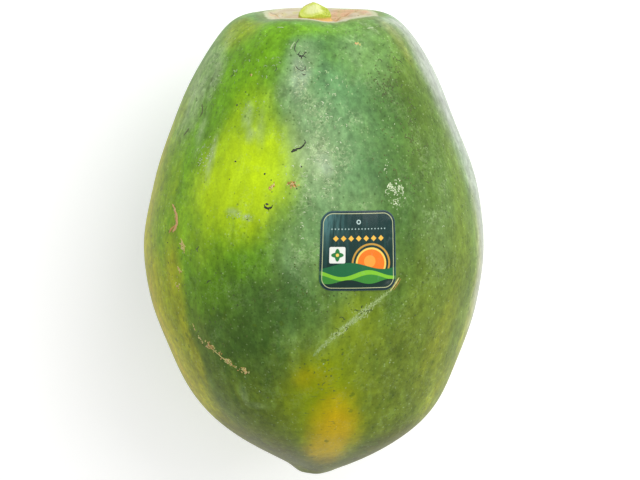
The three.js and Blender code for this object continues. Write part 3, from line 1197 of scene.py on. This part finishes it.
# The shades of cork at tones from 0 to 1, and the dark of the cracks in it.
CORK_SHADES = {
    0.0: srgb(136, 98, 40),
    0.3: srgb(176, 138, 66),
    0.5: srgb(214, 158, 92),
    0.6: srgb(212, 170, 132),
    0.75: srgb(198, 184, 96),
    1.0: srgb(214, 206, 138),
}
CORK_DARK = srgb(112, 84, 40)


def scar_material():
    material, tree, shader = new_material("healed cork")
    place = stored(tree, "place", "Vector")
    grain = cloud(tree, place, size=0.5, stretch=1.0, detail=3, seed=31)
    shades = add_node(tree, "ShaderNodeValToRGB", {0: stored(tree, "tone")})
    stops = shades.color_ramp.elements
    stops[0].color, stops[1].color = CORK_SHADES[0.0], CORK_SHADES[1.0]
    for tone in (0.3, 0.5, 0.6, 0.75):
        stops.new(tone).color = CORK_SHADES[tone]
    colour = blend(tree, ramp(tree, grain, 0.42, 0.28), shades.outputs["Color"], CORK_DARK)
    rough = times_plus(tree, grain, 0.3, 0.6)
    dress(tree, shader, colour, rough, grain, strength=0.6, distance=0.0003)
    return material


def build_scars():
    dice = np.random.default_rng(11)
    beads, tones = [], []
    for line, count, spread, size, tone in SCAR_LINES:
        beads += flakes_along(line, count, spread, size, dice)
        tones += list(dice.normal(tone, SCAR_TONE_SPREAD, count).clip(0, 1))
    for path, half_width, tone in SCAR_THREADS:
        beads.append(bead(path, half_width, THREAD_HEIGHT, dice, THREAD_RINGS))
        tones.append(tone)
    return build_marks("healed_scars", beads, scar_material(), tones)


scars = build_scars()


# ---- Dried sap ---------------------------------------------------------------------------------------
# Milky sap that ran from pricks in the skin and dried on it: dark, hair-thin squiggles and beads.

# Squiggles of sap: the places along the run, and its half width in millimetres.
SAP_RUNS = (
    (((208.4, -10.6), (206.4, -12), (204.6, -12.4), (203.4, -11.2)), 0.22),
    (((204.4, -8.6), (203, -9.8), (201.8, -9.2), (202.4, -7.2), (203.8, -6), (202.6, -4.8)), 0.2),
    (((202.9, -11), (202.2, -8.4), (200.8, -7.6)), 0.24),
    (((201.4, -5.4), (202.2, -7), (201, -8.8)), 0.18),
    (((198.4, -10.6), (197.2, -9.6), (196.2, -7.4), (196.8, -5.8), (198.4, -5.6)), 0.22),
    (((195.4, -7.4), (194.6, -6.2), (195, -5)), 0.2),
    (((163.6, -8.4), (164.6, -7.2), (164.8, -5.8), (166, -4.6), (167.4, -3.8), (168.6, -4.6)), 0.34),
    (((163.2, -9), (164.2, -7.8), (164, -6.8)), 0.6),
    (((141.6, -17), (140.4, -16.6), (139.9, -15.6), (140.4, -14.4), (141.6, -14)), 0.5),
    (((141.8, -16.6), (141.6, -15.4)), 0.5),
    (((197.8, -20.2), (196.6, -19.6), (195.6, -20.4)), 0.18),
    (((194, -44.6), (192.6, -44.2), (191.6, -45)), 0.16),
    (((120.6, -40.6), (119.2, -41.6), (118, -41)), 0.24),
    (((188, 118), (185.4, 120), (183, 119), (181, 121.4)), 0.26),
    (((150, -150), (148.2, -148), (146, -149)), 0.24),
)
# Beads of sap: place along, angle around, and half width in millimetres.
SAP_BEADS = (
    (158.1, -30, 0.45),
    (154, -17.8, 0.5),
    (150.6, -31.2, 0.3),
    (157.4, -5, 0.4),
    (151.6, -15.2, 0.3),
    (148.4, -6.2, 0.36),
    (146.8, -14.6, 0.28),
    (118.6, -57.6, 0.34),
    (109.6, -57, 0.34),
    (134.8, -22.6, 0.3),
    (101, 150, 0.5),
    (140, 168, 0.45),
)
SAP_RUN_HEIGHT, SAP_RUN_RINGS, SAP_BEAD_HEIGHT = 0.12, 16, 0.18
SAP_DARK, SAP_GREY, SAP_FILM = srgb(26, 32, 22), srgb(70, 74, 58), srgb(140, 146, 128)


def sap_material():
    material, tree, shader = new_material("dried sap")
    place = stored(tree, "place", "Vector")
    film = cloud(tree, place, size=0.6, stretch=1.0, detail=3, seed=41)
    shade = blend(tree, stored(tree, "tone"), SAP_DARK, SAP_GREY)
    colour = blend(tree, ramp(tree, film, 0.55, 0.75), shade, SAP_FILM)
    dress(tree, shader, colour, times_plus(tree, film, 0.3, 0.25))
    shader.inputs["IOR"].default_value = 1.4
    return material


def build_sap():
    dice = np.random.default_rng(12)
    beads = []
    for path, half_width in SAP_RUNS:
        beads.append(bead(path, half_width, SAP_RUN_HEIGHT, dice, SAP_RUN_RINGS))
    for at, side, size in SAP_BEADS:
        path = stroke(at, side, 2 * size, dice.uniform(*ANY_HEADING))
        beads.append(bead(path, size, SAP_BEAD_HEIGHT, dice))
    return build_marks("dried_sap", beads, sap_material())


sap = build_sap()


# ---- Freckles and rubs -------------------------------------------------------------------------------
# Pale raised freckles and curls of cracked wax, dark pricks of old spots, and one long rub mark of fine
# crossed scratches. All are part of the skin itself and hardly stand off it.

# Clusters: place along, angle around, half length and half width in millimetres, how many, share of curls,
# and their tone, from 0, hardly paler or darker than the skin, to 1.
PALE_CLUSTERS = (
    (160, 1, 24, 12, 150, 0.8, 0.6),
    (197, -7.5, 9, 5, 44, 0.7, 0.5),
    (185.5, 4, 10, 7, 30, 0.8, 0.5),
    (195, -24, 8, 8, 12, 0.9, 0.3),
    (194, -41, 7, 7, 12, 0.9, 0.3),
    (160, -46, 7, 6, 44, 0.9, 0.5),
    (190, -56, 12, 5, 22, 0.6, 0.4),
    (181, -30, 8, 6, 12, 0.4, 0.4),
    (124, -6, 30, 20, 40, 0.3, 0.25),
    (136, -27, 3, 9, 14, 0.4, 0.6),
    (170, 30, 40, 24, 34, 0.4, 0.3),
    (100, 20, 60, 50, 16, 0.1, 0.25),
    (76, -24, 40, 30, 10, 0.2, 0.2),
    (150, 100, 50, 40, 60, 0.3, 0.3),
    (130, -120, 60, 50, 80, 0.3, 0.3),
    (120, 170, 70, 50, 90, 0.3, 0.3),
)
# Where the wax has flaked into a pale scab, in the same way.
SCABS = (
    (147, 29, 2.8, 3.6, 56, 0.3, 0.9),
    (148.4, 26.6, 1.4, 1.2, 14, 0.2, 0.9),
    (146, 31.4, 2.2, 1.4, 16, 0.3, 0.9),
    (142, 28.6, 3.6, 2.6, 26, 0.5, 0.7),
    (154, 26.4, 5, 1.6, 7, 0.2, 0.6),
    (158.6, -43.6, 1.8, 1.8, 9, 0.2, 0.8),
    (155, -47, 2.4, 2, 6, 0.7, 0.7),
    (135.6, -22.4, 1.2, 2, 6, 0.3, 0.9),
)
DARK_CLUSTERS = (
    (190, 34, 9, 7, 60, 0.5, 0.3),
    (196, 42, 8, 6, 16, 0.3, 0.5),
    (172, 40, 22, 8, 70, 0.6, 0.3),
    (166, 34, 34, 16, 50, 0.3, 0.4),
    (150, 36, 40, 14, 40, 0.3, 0.5),
    (118, 58, 8, 5, 8, 0.2, 0.5),
    (110, 40, 50, 26, 40, 0.1, 0.5),
    (106, 4, 14, 24, 60, 0.1, 0.5),
    (94.6, 16, 3.4, 3.4, 14, 0.9, 0.2),
    (88, 10, 4, 4, 8, 0.9, 0.4),
    (66, 4, 12, 16, 20, 0.1, 0.6),
    (90, -30, 40, 26, 50, 0.2, 0.5),
    (178, -58, 20, 8, 16, 0.5, 0.5),
    (190, -40, 14, 12, 10, 0.3, 0.5),
    (140, 120, 70, 50, 60, 0.1, 0.5),
    (110, -130, 70, 50, 60, 0.1, 0.5),
    (80, 170, 60, 50, 60, 0.1, 0.5),
)
# Crescents pressed into the skin: the places along the crescent, and its half width in millimetres.
CRESCENTS = (
    (((179, -60), (176.2, -57.2), (173.2, -57.4)), 0.55),
    (((168, -63), (166, -64.4), (164.4, -65.6)), 0.6),
)
# Short ripples across the ripening nose: place along, angle around, half length of their oval, how many.
RIPPLES = ((58, 3, 14, 8), (50, 8, 12, 6), (42, 4, 10, 5))
RIPPLES_WIDE = 12
# Pale threads that run down from the rim of the hollow.
THREADS = (
    ((214.6, 35), (213.9, 38.4), (213.1, 40.6), (211.6, 41.4)),
    ((213.8, 7.6), (212.4, 8), (211.4, 7.6)),
    ((213.6, -22), (212.8, -25), (211.8, -27)),
    ((207.4, -12.6), (205.4, -14.2), (204.2, -14.4)),
)
RUB_STROKES = 240
PALE_SIZE, SCAB_SIZE, DARK_SIZE = 0.32, 0.36, 0.46
SIZE_SPREAD, TONE_SPREAD = (0.55, 1.35), (-0.3, 0.3)
# Lengths and half widths of a curl and of a dot, as shares of their size, and the bend of a curl.
CURL_LENGTH, CURL_WIDTH, CURL_BEND = (3, 8), 0.42, (90, 260)
DOT_LENGTH, DOT_WIDTH = (1.2, 2.4), 0.7
FRECKLE_HEIGHT, THREAD, RIPPLE, CRESCENT_HEIGHT = 0.06, (0.3, 0.07), (0.1, 0.03), 0.05
SCRATCH, SCRATCH_LENGTH = (0.13, 0.04), (1, 3.2)
RUB_HEADING, CROSSED = 40, (-32, 22)  # the rub's own heading, and how far its scratches turn from it


def dots_and_curls(clusters, size, dice):
    """the beads of all clusters, and their tones"""
    beads, tones = [], []
    for at, side, long, wide, count, curled, tone in clusters:
        for _ in range(count):
            place = strewn(at, side, long, wide, dice)
            own = size * dice.uniform(*SIZE_SPREAD)
            if dice.uniform() < curled:
                length, bend = own * dice.uniform(*CURL_LENGTH), dice.uniform(*CURL_BEND)
                width = own * CURL_WIDTH
            else:
                length, bend, width = own * dice.uniform(*DOT_LENGTH), 0, own * DOT_WIDTH
            path = stroke(*place, length, dice.uniform(*ANY_HEADING), bend, steps=7)
            beads.append(bead(path, width, FRECKLE_HEIGHT, dice, rings=5))
            tones.append(np.clip(tone + dice.uniform(*TONE_SPREAD), 0, 1))
    return beads, tones


def ripples(dice):
    beads = []
    for at, side, long, count in RIPPLES:
        for _ in range(count):
            place = strewn(at, side, long, RIPPLES_WIDE, dice)
            path = stroke(*place, dice.uniform(1.5, 4), 90 + dice.uniform(-8, 8), dice.uniform(-15, 15))
            beads.append(bead(path, *RIPPLE, dice))
    return beads


def rub_strokes(dice):
    """crossed scratches, palest where the rub is widest, and their tones"""
    beads, tones = [], []
    for _ in range(RUB_STROKES):
        at, side, half_width = part_way(RUB, dice.uniform(0, len(RUB) - 1))
        at, side = strewn(at, side, half_width, half_width, dice)
        heading = RUB_HEADING + dice.choice(CROSSED) + dice.uniform(-12, 12)
        path = stroke(at, side, dice.uniform(*SCRATCH_LENGTH), heading, dice.uniform(-20, 20))
        beads.append(bead(path, *SCRATCH, dice, rings=4))
        tones.append(np.clip(0.45 * half_width + dice.uniform(-0.2, 0.2), 0, 1))
    return beads, tones


def freckle_material(name, low, high, roughness):
    """low and high are its colours at tones 0 and 1"""
    material, tree, shader = new_material(name)
    place = stored(tree, "place", "Vector")
    grain = cloud(tree, place, size=0.4, stretch=1.0, detail=2, seed=51)
    colour = blend(tree, stored(tree, "tone"), low, high)
    colour = blend(tree, ramp(tree, grain, 0.5, 0.35), colour, low)
    dress(tree, shader, colour, times_plus(tree, grain, 0.3, roughness))
    return material


PALE_TONES = srgb(112, 150, 74), srgb(224, 232, 200)
DARK_TONES = srgb(58, 80, 20), srgb(96, 112, 28)
RUB_TONES = srgb(128, 158, 74), srgb(188, 204, 150)
THREAD_TONE, LINE_TONE = 0.4, 0.6


def build_freckles():
    dice = np.random.default_rng(13)
    pale, pale_tones = dots_and_curls(PALE_CLUSTERS, PALE_SIZE, dice)
    scabs, scab_tones = dots_and_curls(SCABS, SCAB_SIZE, dice)
    threads = [bead(path, *THREAD, dice, rings=8) for path in THREADS]
    dark, dark_tones = dots_and_curls(DARK_CLUSTERS, DARK_SIZE, dice)
    lines = ripples(dice)
    lines += [bead(path, width, CRESCENT_HEIGHT, dice, rings=10) for path, width in CRESCENTS]
    scratches, scratch_tones = rub_strokes(dice)
    all_pale_tones = pale_tones + scab_tones + [THREAD_TONE] * len(threads)
    all_dark_tones = dark_tones + [LINE_TONE] * len(lines)
    raised = freckle_material("raised freckle", *PALE_TONES, 0.45)
    pricks = freckle_material("old prick", *DARK_TONES, 0.4)
    scratched_wax = freckle_material("scratched skin", *RUB_TONES, 0.5)
    return (
        build_marks("pale_freckles", pale + scabs + threads, raised, all_pale_tones),
        build_marks("dark_freckles", dark + lines, pricks, all_dark_tones),
        build_marks("rub_scratches", scratches, scratched_wax, scratch_tones),
    )


for freckles in build_freckles():
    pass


# ---- The sticker -------------------------------------------------------------------------------------
# A small printed square of glossy film with rounded corners, pressed on to the front of the fruit. It
# follows the skin, but for its lower edge, which has lifted a little. Its print is a plain sunrise.

STICKER_SIDE, STICKER_CORNER = 34, 5.5
STICKER_ALONG, STICKER_AROUND, STICKER_TURN = 121.8, 14.3, -2
FILM_THICK, FILM_GAP = 0.16, 0.03
STICKER_CELLS = 68


def round_corner(x, y):
    """draws the square at each corner in to a quarter disc"""
    straight = STICKER_SIDE / 2 - STICKER_CORNER
    dx, dy = np.abs(x) - straight, np.abs(y) - straight
    at_corner = (dx > 0) & (dy > 0)
    pull = np.where(at_corner, np.maximum(dx, dy) / np.hypot(dx, dy).clip(1e-9), 1)
    return (
        np.where(at_corner, np.sign(x) * (straight + dx * pull), x),
        np.where(at_corner, np.sign(y) * (straight + dy * pull), y),
    )


# How far the film has come off: at its lower edge, most at the right, and at its lower right corner. Its
# sides pucker and its face has faint creases.
LOWER_LIFT, LOWER_EDGE = 0.35, (-0.72, -1)
CORNER_LIFT, LIFTED_CORNER = 0.3, (1.45, 1.7)
PUCKER_HEIGHT, PUCKERED = 0.05, (0.6, 1)
CREASE_HEIGHT, CREASED = 0.035, (0.75, 1)


def film_lift(x, y):
    """how far the film has come off the skin, and its small creases, in millimetres"""
    half = STICKER_SIDE / 2
    lower = LOWER_LIFT * smoothstep(*LOWER_EDGE, y / half) * (0.5 + 0.5 * x / half)
    corner = CORNER_LIFT * smoothstep(*LIFTED_CORNER, (x - y) / half)
    edge = smoothstep(*PUCKERED, np.abs(x) / half)
    puckers = PUCKER_HEIGHT * edge * (1 + np.sin(1.1 * y + 0.5 * np.sin(y)))
    creases = CREASE_HEIGHT * smoothstep(*CREASED, np.sin(0.9 * x + 0.25 * np.sin(0.3 * y)))
    return lower + corner + puckers + creases


def film_points(x, y, height):
    """the points of the film at places on the flat sheet, that high over its underside"""
    turn = np.radians(STICKER_TURN)
    aside = x * np.cos(turn) - y * np.sin(turn)
    onward = x * np.sin(turn) + y * np.cos(turn)
    around = STICKER_AROUND + around_step(STICKER_ALONG, aside)
    return grown_skin(t_at(STICKER_ALONG + onward), around, FILM_GAP + film_lift(x, y) + height)


def sticker_net():
    """the two sides of the film and the strip between them"""
    line = np.linspace(-0.5, 0.5, STICKER_CELLS + 1) * STICKER_SIDE
    x, y = round_corner(*(grid.ravel() for grid in np.meshgrid(line, line)))
    under, over = film_points(x, y, 0.0), film_points(x, y, FILM_THICK)
    count, row = len(x), STICKER_CELLS + 1
    faces = []
    for r in range(STICKER_CELLS):
        for c in range(STICKER_CELLS):
            a = r * row + c
            b, d, e = a + 1, a + row, a + row + 1
            faces.append((count + a, count + b, count + e, count + d))
            faces.append((a, d, e, b))
    last = STICKER_CELLS
    border = list(range(last))
    border += [r * row + last for r in range(last)]
    border += [last * row + c for c in range(last, 0, -1)]
    border += [r * row for r in range(last, 0, -1)]
    for here, there in zip(border, border[1:] + border[:1]):
        faces.append((here, there, count + there, count + here))
    sheet = np.column_stack([np.tile(x, 2), np.tile(y, 2), np.repeat([0.0, 1.0], count)])
    return np.vstack([under, over]), sheet, faces


PRINT_SOFT = 0.07  # how soft a printed edge is, in millimetres


def inside(sheet, distance, radius):
    """1 where a distance is less than the radius"""
    return ramp(sheet.tree, distance, radius + PRINT_SOFT, radius - PRINT_SOFT)


def length_of(tree, dx, dy):
    """how long a step by dx and dy is"""
    return maths(tree, "SQRT", times_plus(tree, dx, dx, times(tree, dy, dy)))


def far_from(sheet, at_x, at_y, squash=1.0):
    """distance from a place on the sheet; squash counts the way up or down so many times"""
    dx = minus(sheet.tree, sheet.x, at_x)
    dy = times(sheet.tree, minus(sheet.tree, sheet.y, at_y), squash)
    return length_of(sheet.tree, dx, dy)


def box_distance(sheet, at_x, at_y, half, corner):
    """distance from a rounded square, negative inside it"""
    tree = sheet.tree
    reach = half - corner
    dx = minus(tree, maths(tree, "ABSOLUTE", minus(tree, sheet.x, at_x)), reach)
    dy = minus(tree, maths(tree, "ABSOLUTE", minus(tree, sheet.y, at_y)), reach)
    outside = length_of(tree, maths(tree, "MAXIMUM", dx, 0.0), maths(tree, "MAXIMUM", dy, 0.0))
    within = maths(tree, "MINIMUM", maths(tree, "MAXIMUM", dx, dy), 0.0)
    return minus(tree, maths(tree, "ADD", outside, within), corner)


def under_wave(sheet, level, rise, pace, start):
    """1 under a waving line at that level"""
    tree = sheet.tree
    swing = maths(tree, "SINE", times_plus(tree, sheet.x, pace, start))
    return inside(sheet, minus(tree, sheet.y, times_plus(tree, swing, rise, level)), 0.0)


def lozenges(sheet, level, spacing, half, reach):
    """1 on a row of small lozenges, as far as the reach to either side"""
    tree = sheet.tree
    folded = maths(tree, "PINGPONG", sheet.x, spacing / 2)
    dy = maths(tree, "ABSOLUTE", minus(tree, sheet.y, level))
    row = inside(sheet, maths(tree, "ADD", folded, dy), half)
    return times(tree, row, inside(sheet, maths(tree, "ABSOLUTE", sheet.x), reach))


GROUND_FOOT, GROUND_HEAD = srgb(6, 46, 38), srgb(10, 50, 48)
# painted sheen on the glossy film: a pale teal towards its upper left, and lighter streaks
PAINTED_FILM_SHEEN, PAINTED_STREAK_SHEEN = srgb(84, 130, 128), srgb(40, 92, 88)
SUN, SUN_GLOW = (5.6, -5.4), (5.0, -4.4)
SUN_RING, RING_INNER, SUN_RIM, SUN_DISC, SUN_HEART = 8.7, 7.9, 6.9, 6.1, 2.6  # radii
OCHRE, YELLOW = srgb(196, 150, 60), srgb(246, 206, 96)
ORANGE, AMBER = srgb(238, 122, 30), srgb(248, 160, 60)
# Waves of green hills, one in front of the other: level, rise, pace, start, colour.
HILLS = (
    (-6.4, 1.5, 0.2, 2.4, srgb(26, 104, 60)),
    (-9.6, 1.4, 0.27, 0.4, srgb(128, 196, 46)),
    (-11.4, 1.3, 0.27, 0.2, srgb(60, 138, 50)),
    (-13.2, 0.9, 0.34, 3.0, srgb(8, 44, 36)),
)
# A pale panel with a flower of two crossed pairs of petals: its middle, half side and corner; the half
# width of a pair, how the way up counts in a pair that stands and in one that lies, the flower's heart.
PANEL, PANEL_HALF, PANEL_CORNER = (-9.4, -1.6), 3.5, 0.7
PAIR_HALF, PAIR_STANDS, PAIR_LIES, FLOWER_HEART = 1.15, 0.42, 2.4, 0.7
PANEL_WHITE, PETAL_GREEN = srgb(232, 234, 226), srgb(40, 120, 60)
# Rows of lozenges: level, spacing, half width, reach, colour. A small ring stands over them.
LOZENGE_ROWS = (
    (5.4, 3.4, 1.25, 11.9, srgb(244, 190, 76)),
    (9.4, 1.5, 0.36, 12.6, srgb(170, 196, 190)),
)
RING, RING_OUTER, RING_HOLE, RING_GREY = (0.0, 12.3), 1.0, 0.55, srgb(186, 210, 204)
# The border, at its distances in from the edge of the sheet: a fine line, a dark band outside that line,
# and a pale edge.
LINE_IN, LINE_HALF, BAND_IN, EDGE_IN = 1.15, 0.15, (-1.0, -0.9), (-0.22, -0.02)
LINE_CREAM, BAND_DARK, EDGE_GREY = srgb(206, 212, 160), srgb(14, 44, 56), srgb(86, 112, 120)
FILM_WHITE, SCUFF_GREY = srgb(200, 204, 200), srgb(150, 176, 176)


def print_ground(sheet):
    """the dark green ground, with a painted sheen towards its upper left, broken up in streaks"""
    tree = sheet.tree
    ground = blend(tree, ramp(tree, sheet.y, -16, 16), GROUND_FOOT, GROUND_HEAD)
    # painted sheen towards the upper left
    painted_film_sheen = times(tree, ramp(tree, sheet.x, -2, -17), ramp(tree, sheet.y, -4, 15))
    painted_film_sheen = times(tree, painted_film_sheen, ramp(tree, sheet.streaks, 0.3, 0.6))
    return blend(tree, painted_film_sheen, ground, PAINTED_FILM_SHEEN)


def print_sunrise(sheet, colour):
    """a low sun in a ring, behind waves of green"""
    tree = sheet.tree
    sun = far_from(sheet, *SUN)
    past_ring = inside(sheet, times(tree, sun, -1.0), -RING_INNER)
    colour = blend(tree, times(tree, inside(sheet, sun, SUN_RING), past_ring), colour, OCHRE)
    colour = blend(tree, inside(sheet, sun, SUN_RIM), colour, YELLOW)
    colour = blend(tree, inside(sheet, sun, SUN_DISC), colour, ORANGE)
    colour = blend(tree, inside(sheet, far_from(sheet, *SUN_GLOW), SUN_HEART), colour, AMBER)
    for *wave, green in HILLS:
        colour = blend(tree, under_wave(sheet, *wave), colour, green)
    return colour


def print_flower(sheet, colour):
    """the pale panel and its flower"""
    tree = sheet.tree
    panel = box_distance(sheet, *PANEL, PANEL_HALF, PANEL_CORNER)
    colour = blend(tree, inside(sheet, panel, 0.0), colour, PANEL_WHITE)
    standing = inside(sheet, far_from(sheet, *PANEL, PAIR_STANDS), PAIR_HALF)
    lying = inside(sheet, times(tree, far_from(sheet, *PANEL, PAIR_LIES), PAIR_STANDS), PAIR_HALF)
    colour = blend(tree, maths(tree, "MAXIMUM", standing, lying), colour, PETAL_GREEN)
    return blend(tree, inside(sheet, far_from(sheet, *PANEL), FLOWER_HEART), colour, YELLOW)


def print_rows(sheet, colour, ground):
    """the rows of lozenges and the small ring over them"""
    tree = sheet.tree
    for *row, tint in LOZENGE_ROWS:
        colour = blend(tree, lozenges(sheet, *row), colour, tint)
    from_ring = far_from(sheet, *RING)
    colour = blend(tree, inside(sheet, from_ring, RING_OUTER), colour, RING_GREY)
    return blend(tree, inside(sheet, from_ring, RING_HOLE), colour, ground)


def print_border(sheet, colour):
    """the border, and the unprinted underside of the film"""
    tree = sheet.tree
    edge = box_distance(sheet, 0.0, 0.0, STICKER_SIDE / 2, STICKER_CORNER)
    line = inside(sheet, maths(tree, "ABSOLUTE", maths(tree, "ADD", edge, LINE_IN)), LINE_HALF)
    colour = blend(tree, times(tree, line, 0.8), colour, LINE_CREAM)
    colour = blend(tree, times(tree, ramp(tree, edge, *BAND_IN), 0.7), colour, BAND_DARK)
    colour = blend(tree, ramp(tree, edge, *EDGE_IN), colour, EDGE_GREY)
    return blend(tree, ramp(tree, sheet.top, 0.6, 0.4), colour, FILM_WHITE)


def print_material():
    material, tree, shader = new_material("printed film")
    flat = stored(tree, "sheet", "Vector")
    axes = add_node(tree, "ShaderNodeSeparateXYZ", {0: flat}).outputs
    sheet = SimpleNamespace(tree=tree, x=axes["X"], y=axes["Y"], top=axes["Z"])
    sheet.streaks = cloud(tree, flat, size=1.3, stretch=9, detail=3, seed=61)
    ground = print_ground(sheet)
    # painted sheen in streaks along the film
    streak_sheen = times(tree, ramp(tree, sheet.streaks, 0.5, 0.75), 0.3)
    colour = blend(tree, streak_sheen, ground, PAINTED_STREAK_SHEEN)
    colour = print_flower(sheet, print_sunrise(sheet, colour))
    colour = print_border(sheet, print_rows(sheet, colour, ground))
    scuffs = cloud(tree, stored(tree, "place", "Vector"), size=1.8, stretch=2.0, detail=4, seed=62)
    colour = blend(tree, times(tree, ramp(tree, scuffs, 0.6, 0.85), 0.2), colour, SCUFF_GREY)
    rough = times_plus(tree, ramp(tree, scuffs, 0.45, 0.75), 0.25, 0.2)
    height = times_plus(tree, sheet.streaks, 0.5, times(tree, scuffs, 0.3))
    dress(tree, shader, colour, rough, height, strength=0.25, distance=0.0003)
    shader.inputs["IOR"].default_value = 1.3
    shader.inputs["Coat Weight"].default_value = 0.15
    shader.inputs["Coat Roughness"].default_value = 0.12
    return material


def build_sticker(material):
    points, sheet, faces = sticker_net()
    sticker = new_piece("printed_sticker", to_row(points), faces, material)
    give(sticker, "place", points)
    give(sticker, "sheet", sheet)
    return sticker


sticker = build_sticker(print_material())
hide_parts("label")


# ---- The floor, the light and the camera -----------------------------------------------------------
# A plain pale floor under soft studio light. The camera looks down on the lying fruit, a little from its
# stem end, from a metre away.

FLOOR_REACH = 6.0
FLOOR_SINK = 0.0002


def floor_material():
    material, _, shader = new_material("pale floor")
    shader.inputs["Base Color"].default_value = (0.92, 0.92, 0.92, 1)
    shader.inputs["Roughness"].default_value = 0.9
    shader.inputs["Emission Color"].default_value = (1, 1, 1, 1)
    shader.inputs["Emission Strength"].default_value = 0.3
    return material


def build_floor():
    mesh = bpy.data.meshes.new("floor")
    corners = ((-1, -1), (1, -1), (1, 1), (-1, 1))
    points = [(x * FLOOR_REACH, y * FLOOR_REACH, -FLOOR_SINK) for x, y in corners]
    mesh.from_pydata(points, [], [(0, 1, 2, 3)])
    mesh.materials.append(floor_material())
    floor = bpy.data.objects.new("floor", mesh)
    bpy.context.scene.collection.objects.link(floor)


# The way to the bright side of the world, how bright it is at its middle and how much brighter that way,
# and how bright the backdrop looks.
WORLD_BRIGHT_SIDE = (0.55, 0.65, 0.52)
WORLD_MIDDLE, WORLD_SLOPE = 0.6, 0.38
BACKDROP = 0.9


def build_world():
    """a pale backdrop; its light is brighter on the side of the key light"""
    world = bpy.data.worlds.new("studio")
    world.use_nodes = True
    tree = world.node_tree
    background = tree.nodes["Background"]
    background.inputs["Color"].default_value = (1, 1, 1, 1)
    direction = add_node(tree, "ShaderNodeTexCoord").outputs["Generated"]
    towards = add_node(
        tree, "ShaderNodeVectorMath", {0: direction, 1: WORLD_BRIGHT_SIDE}, operation="DOT_PRODUCT"
    )
    strength = maths(tree, "MULTIPLY_ADD", towards.outputs["Value"], WORLD_SLOPE, WORLD_MIDDLE)
    seen = add_node(tree, "ShaderNodeLightPath").outputs["Is Camera Ray"]
    tree.links.new(blend_number(tree, seen, strength, BACKDROP), background.inputs["Strength"])
    bpy.context.scene.world = world


def add_softbox(name, place, target, width, height, watts):
    light = bpy.data.lights.new(name, "AREA")
    light.shape = "RECTANGLE"
    light.size, light.size_y = width, height
    light.energy = watts
    softbox = bpy.data.objects.new(name, light)
    softbox.location = place
    softbox.rotation_mode = "QUATERNION"
    softbox.rotation_quaternion = (Vector(target) - Vector(place)).to_track_quat("-Z", "Y")
    bpy.context.scene.collection.objects.link(softbox)


# The camera: how far over square to the fruit it stands, how far off in millimetres, where it aims in the
# fruit's own frame, and its focal length and picture width in pixels.
CAMERA_RISE = 12
CAMERA_FAR = 1000
CAMERA_AIM = (2.3, 111, 0)
FOCAL_PIXELS, WIDE_PIXELS, SENSOR = 2167, 640, 36.0
KEY_PLACE, KEY_TARGET, KEY_SIDE, KEY_WATTS = (1.0, 1.0, 1.3), (0, 0, 0.08), 1.5, 20


def build_camera():
    rise = np.radians(CAMERA_RISE)
    aim = np.array([CAMERA_AIM], float)
    away = np.array([[0, np.sin(rise), np.cos(rise)]]) * CAMERA_FAR
    camera_data = bpy.data.cameras.new("camera")
    camera_data.sensor_width = SENSOR
    camera_data.lens = FOCAL_PIXELS / WIDE_PIXELS * SENSOR
    camera_data.clip_start, camera_data.clip_end = 0.01, 100
    camera = bpy.data.objects.new("camera", camera_data)
    camera.location = to_row(aim + away)[0]
    camera.rotation_euler.x = np.radians(REST_PITCH - CAMERA_RISE)
    bpy.context.scene.collection.objects.link(camera)
    bpy.context.scene.camera = camera


build_floor()
build_world()
add_softbox("key", KEY_PLACE, KEY_TARGET, KEY_SIDE, KEY_SIDE, KEY_WATTS)
build_camera()
bpy.context.scene.view_settings.view_transform = "Standard"
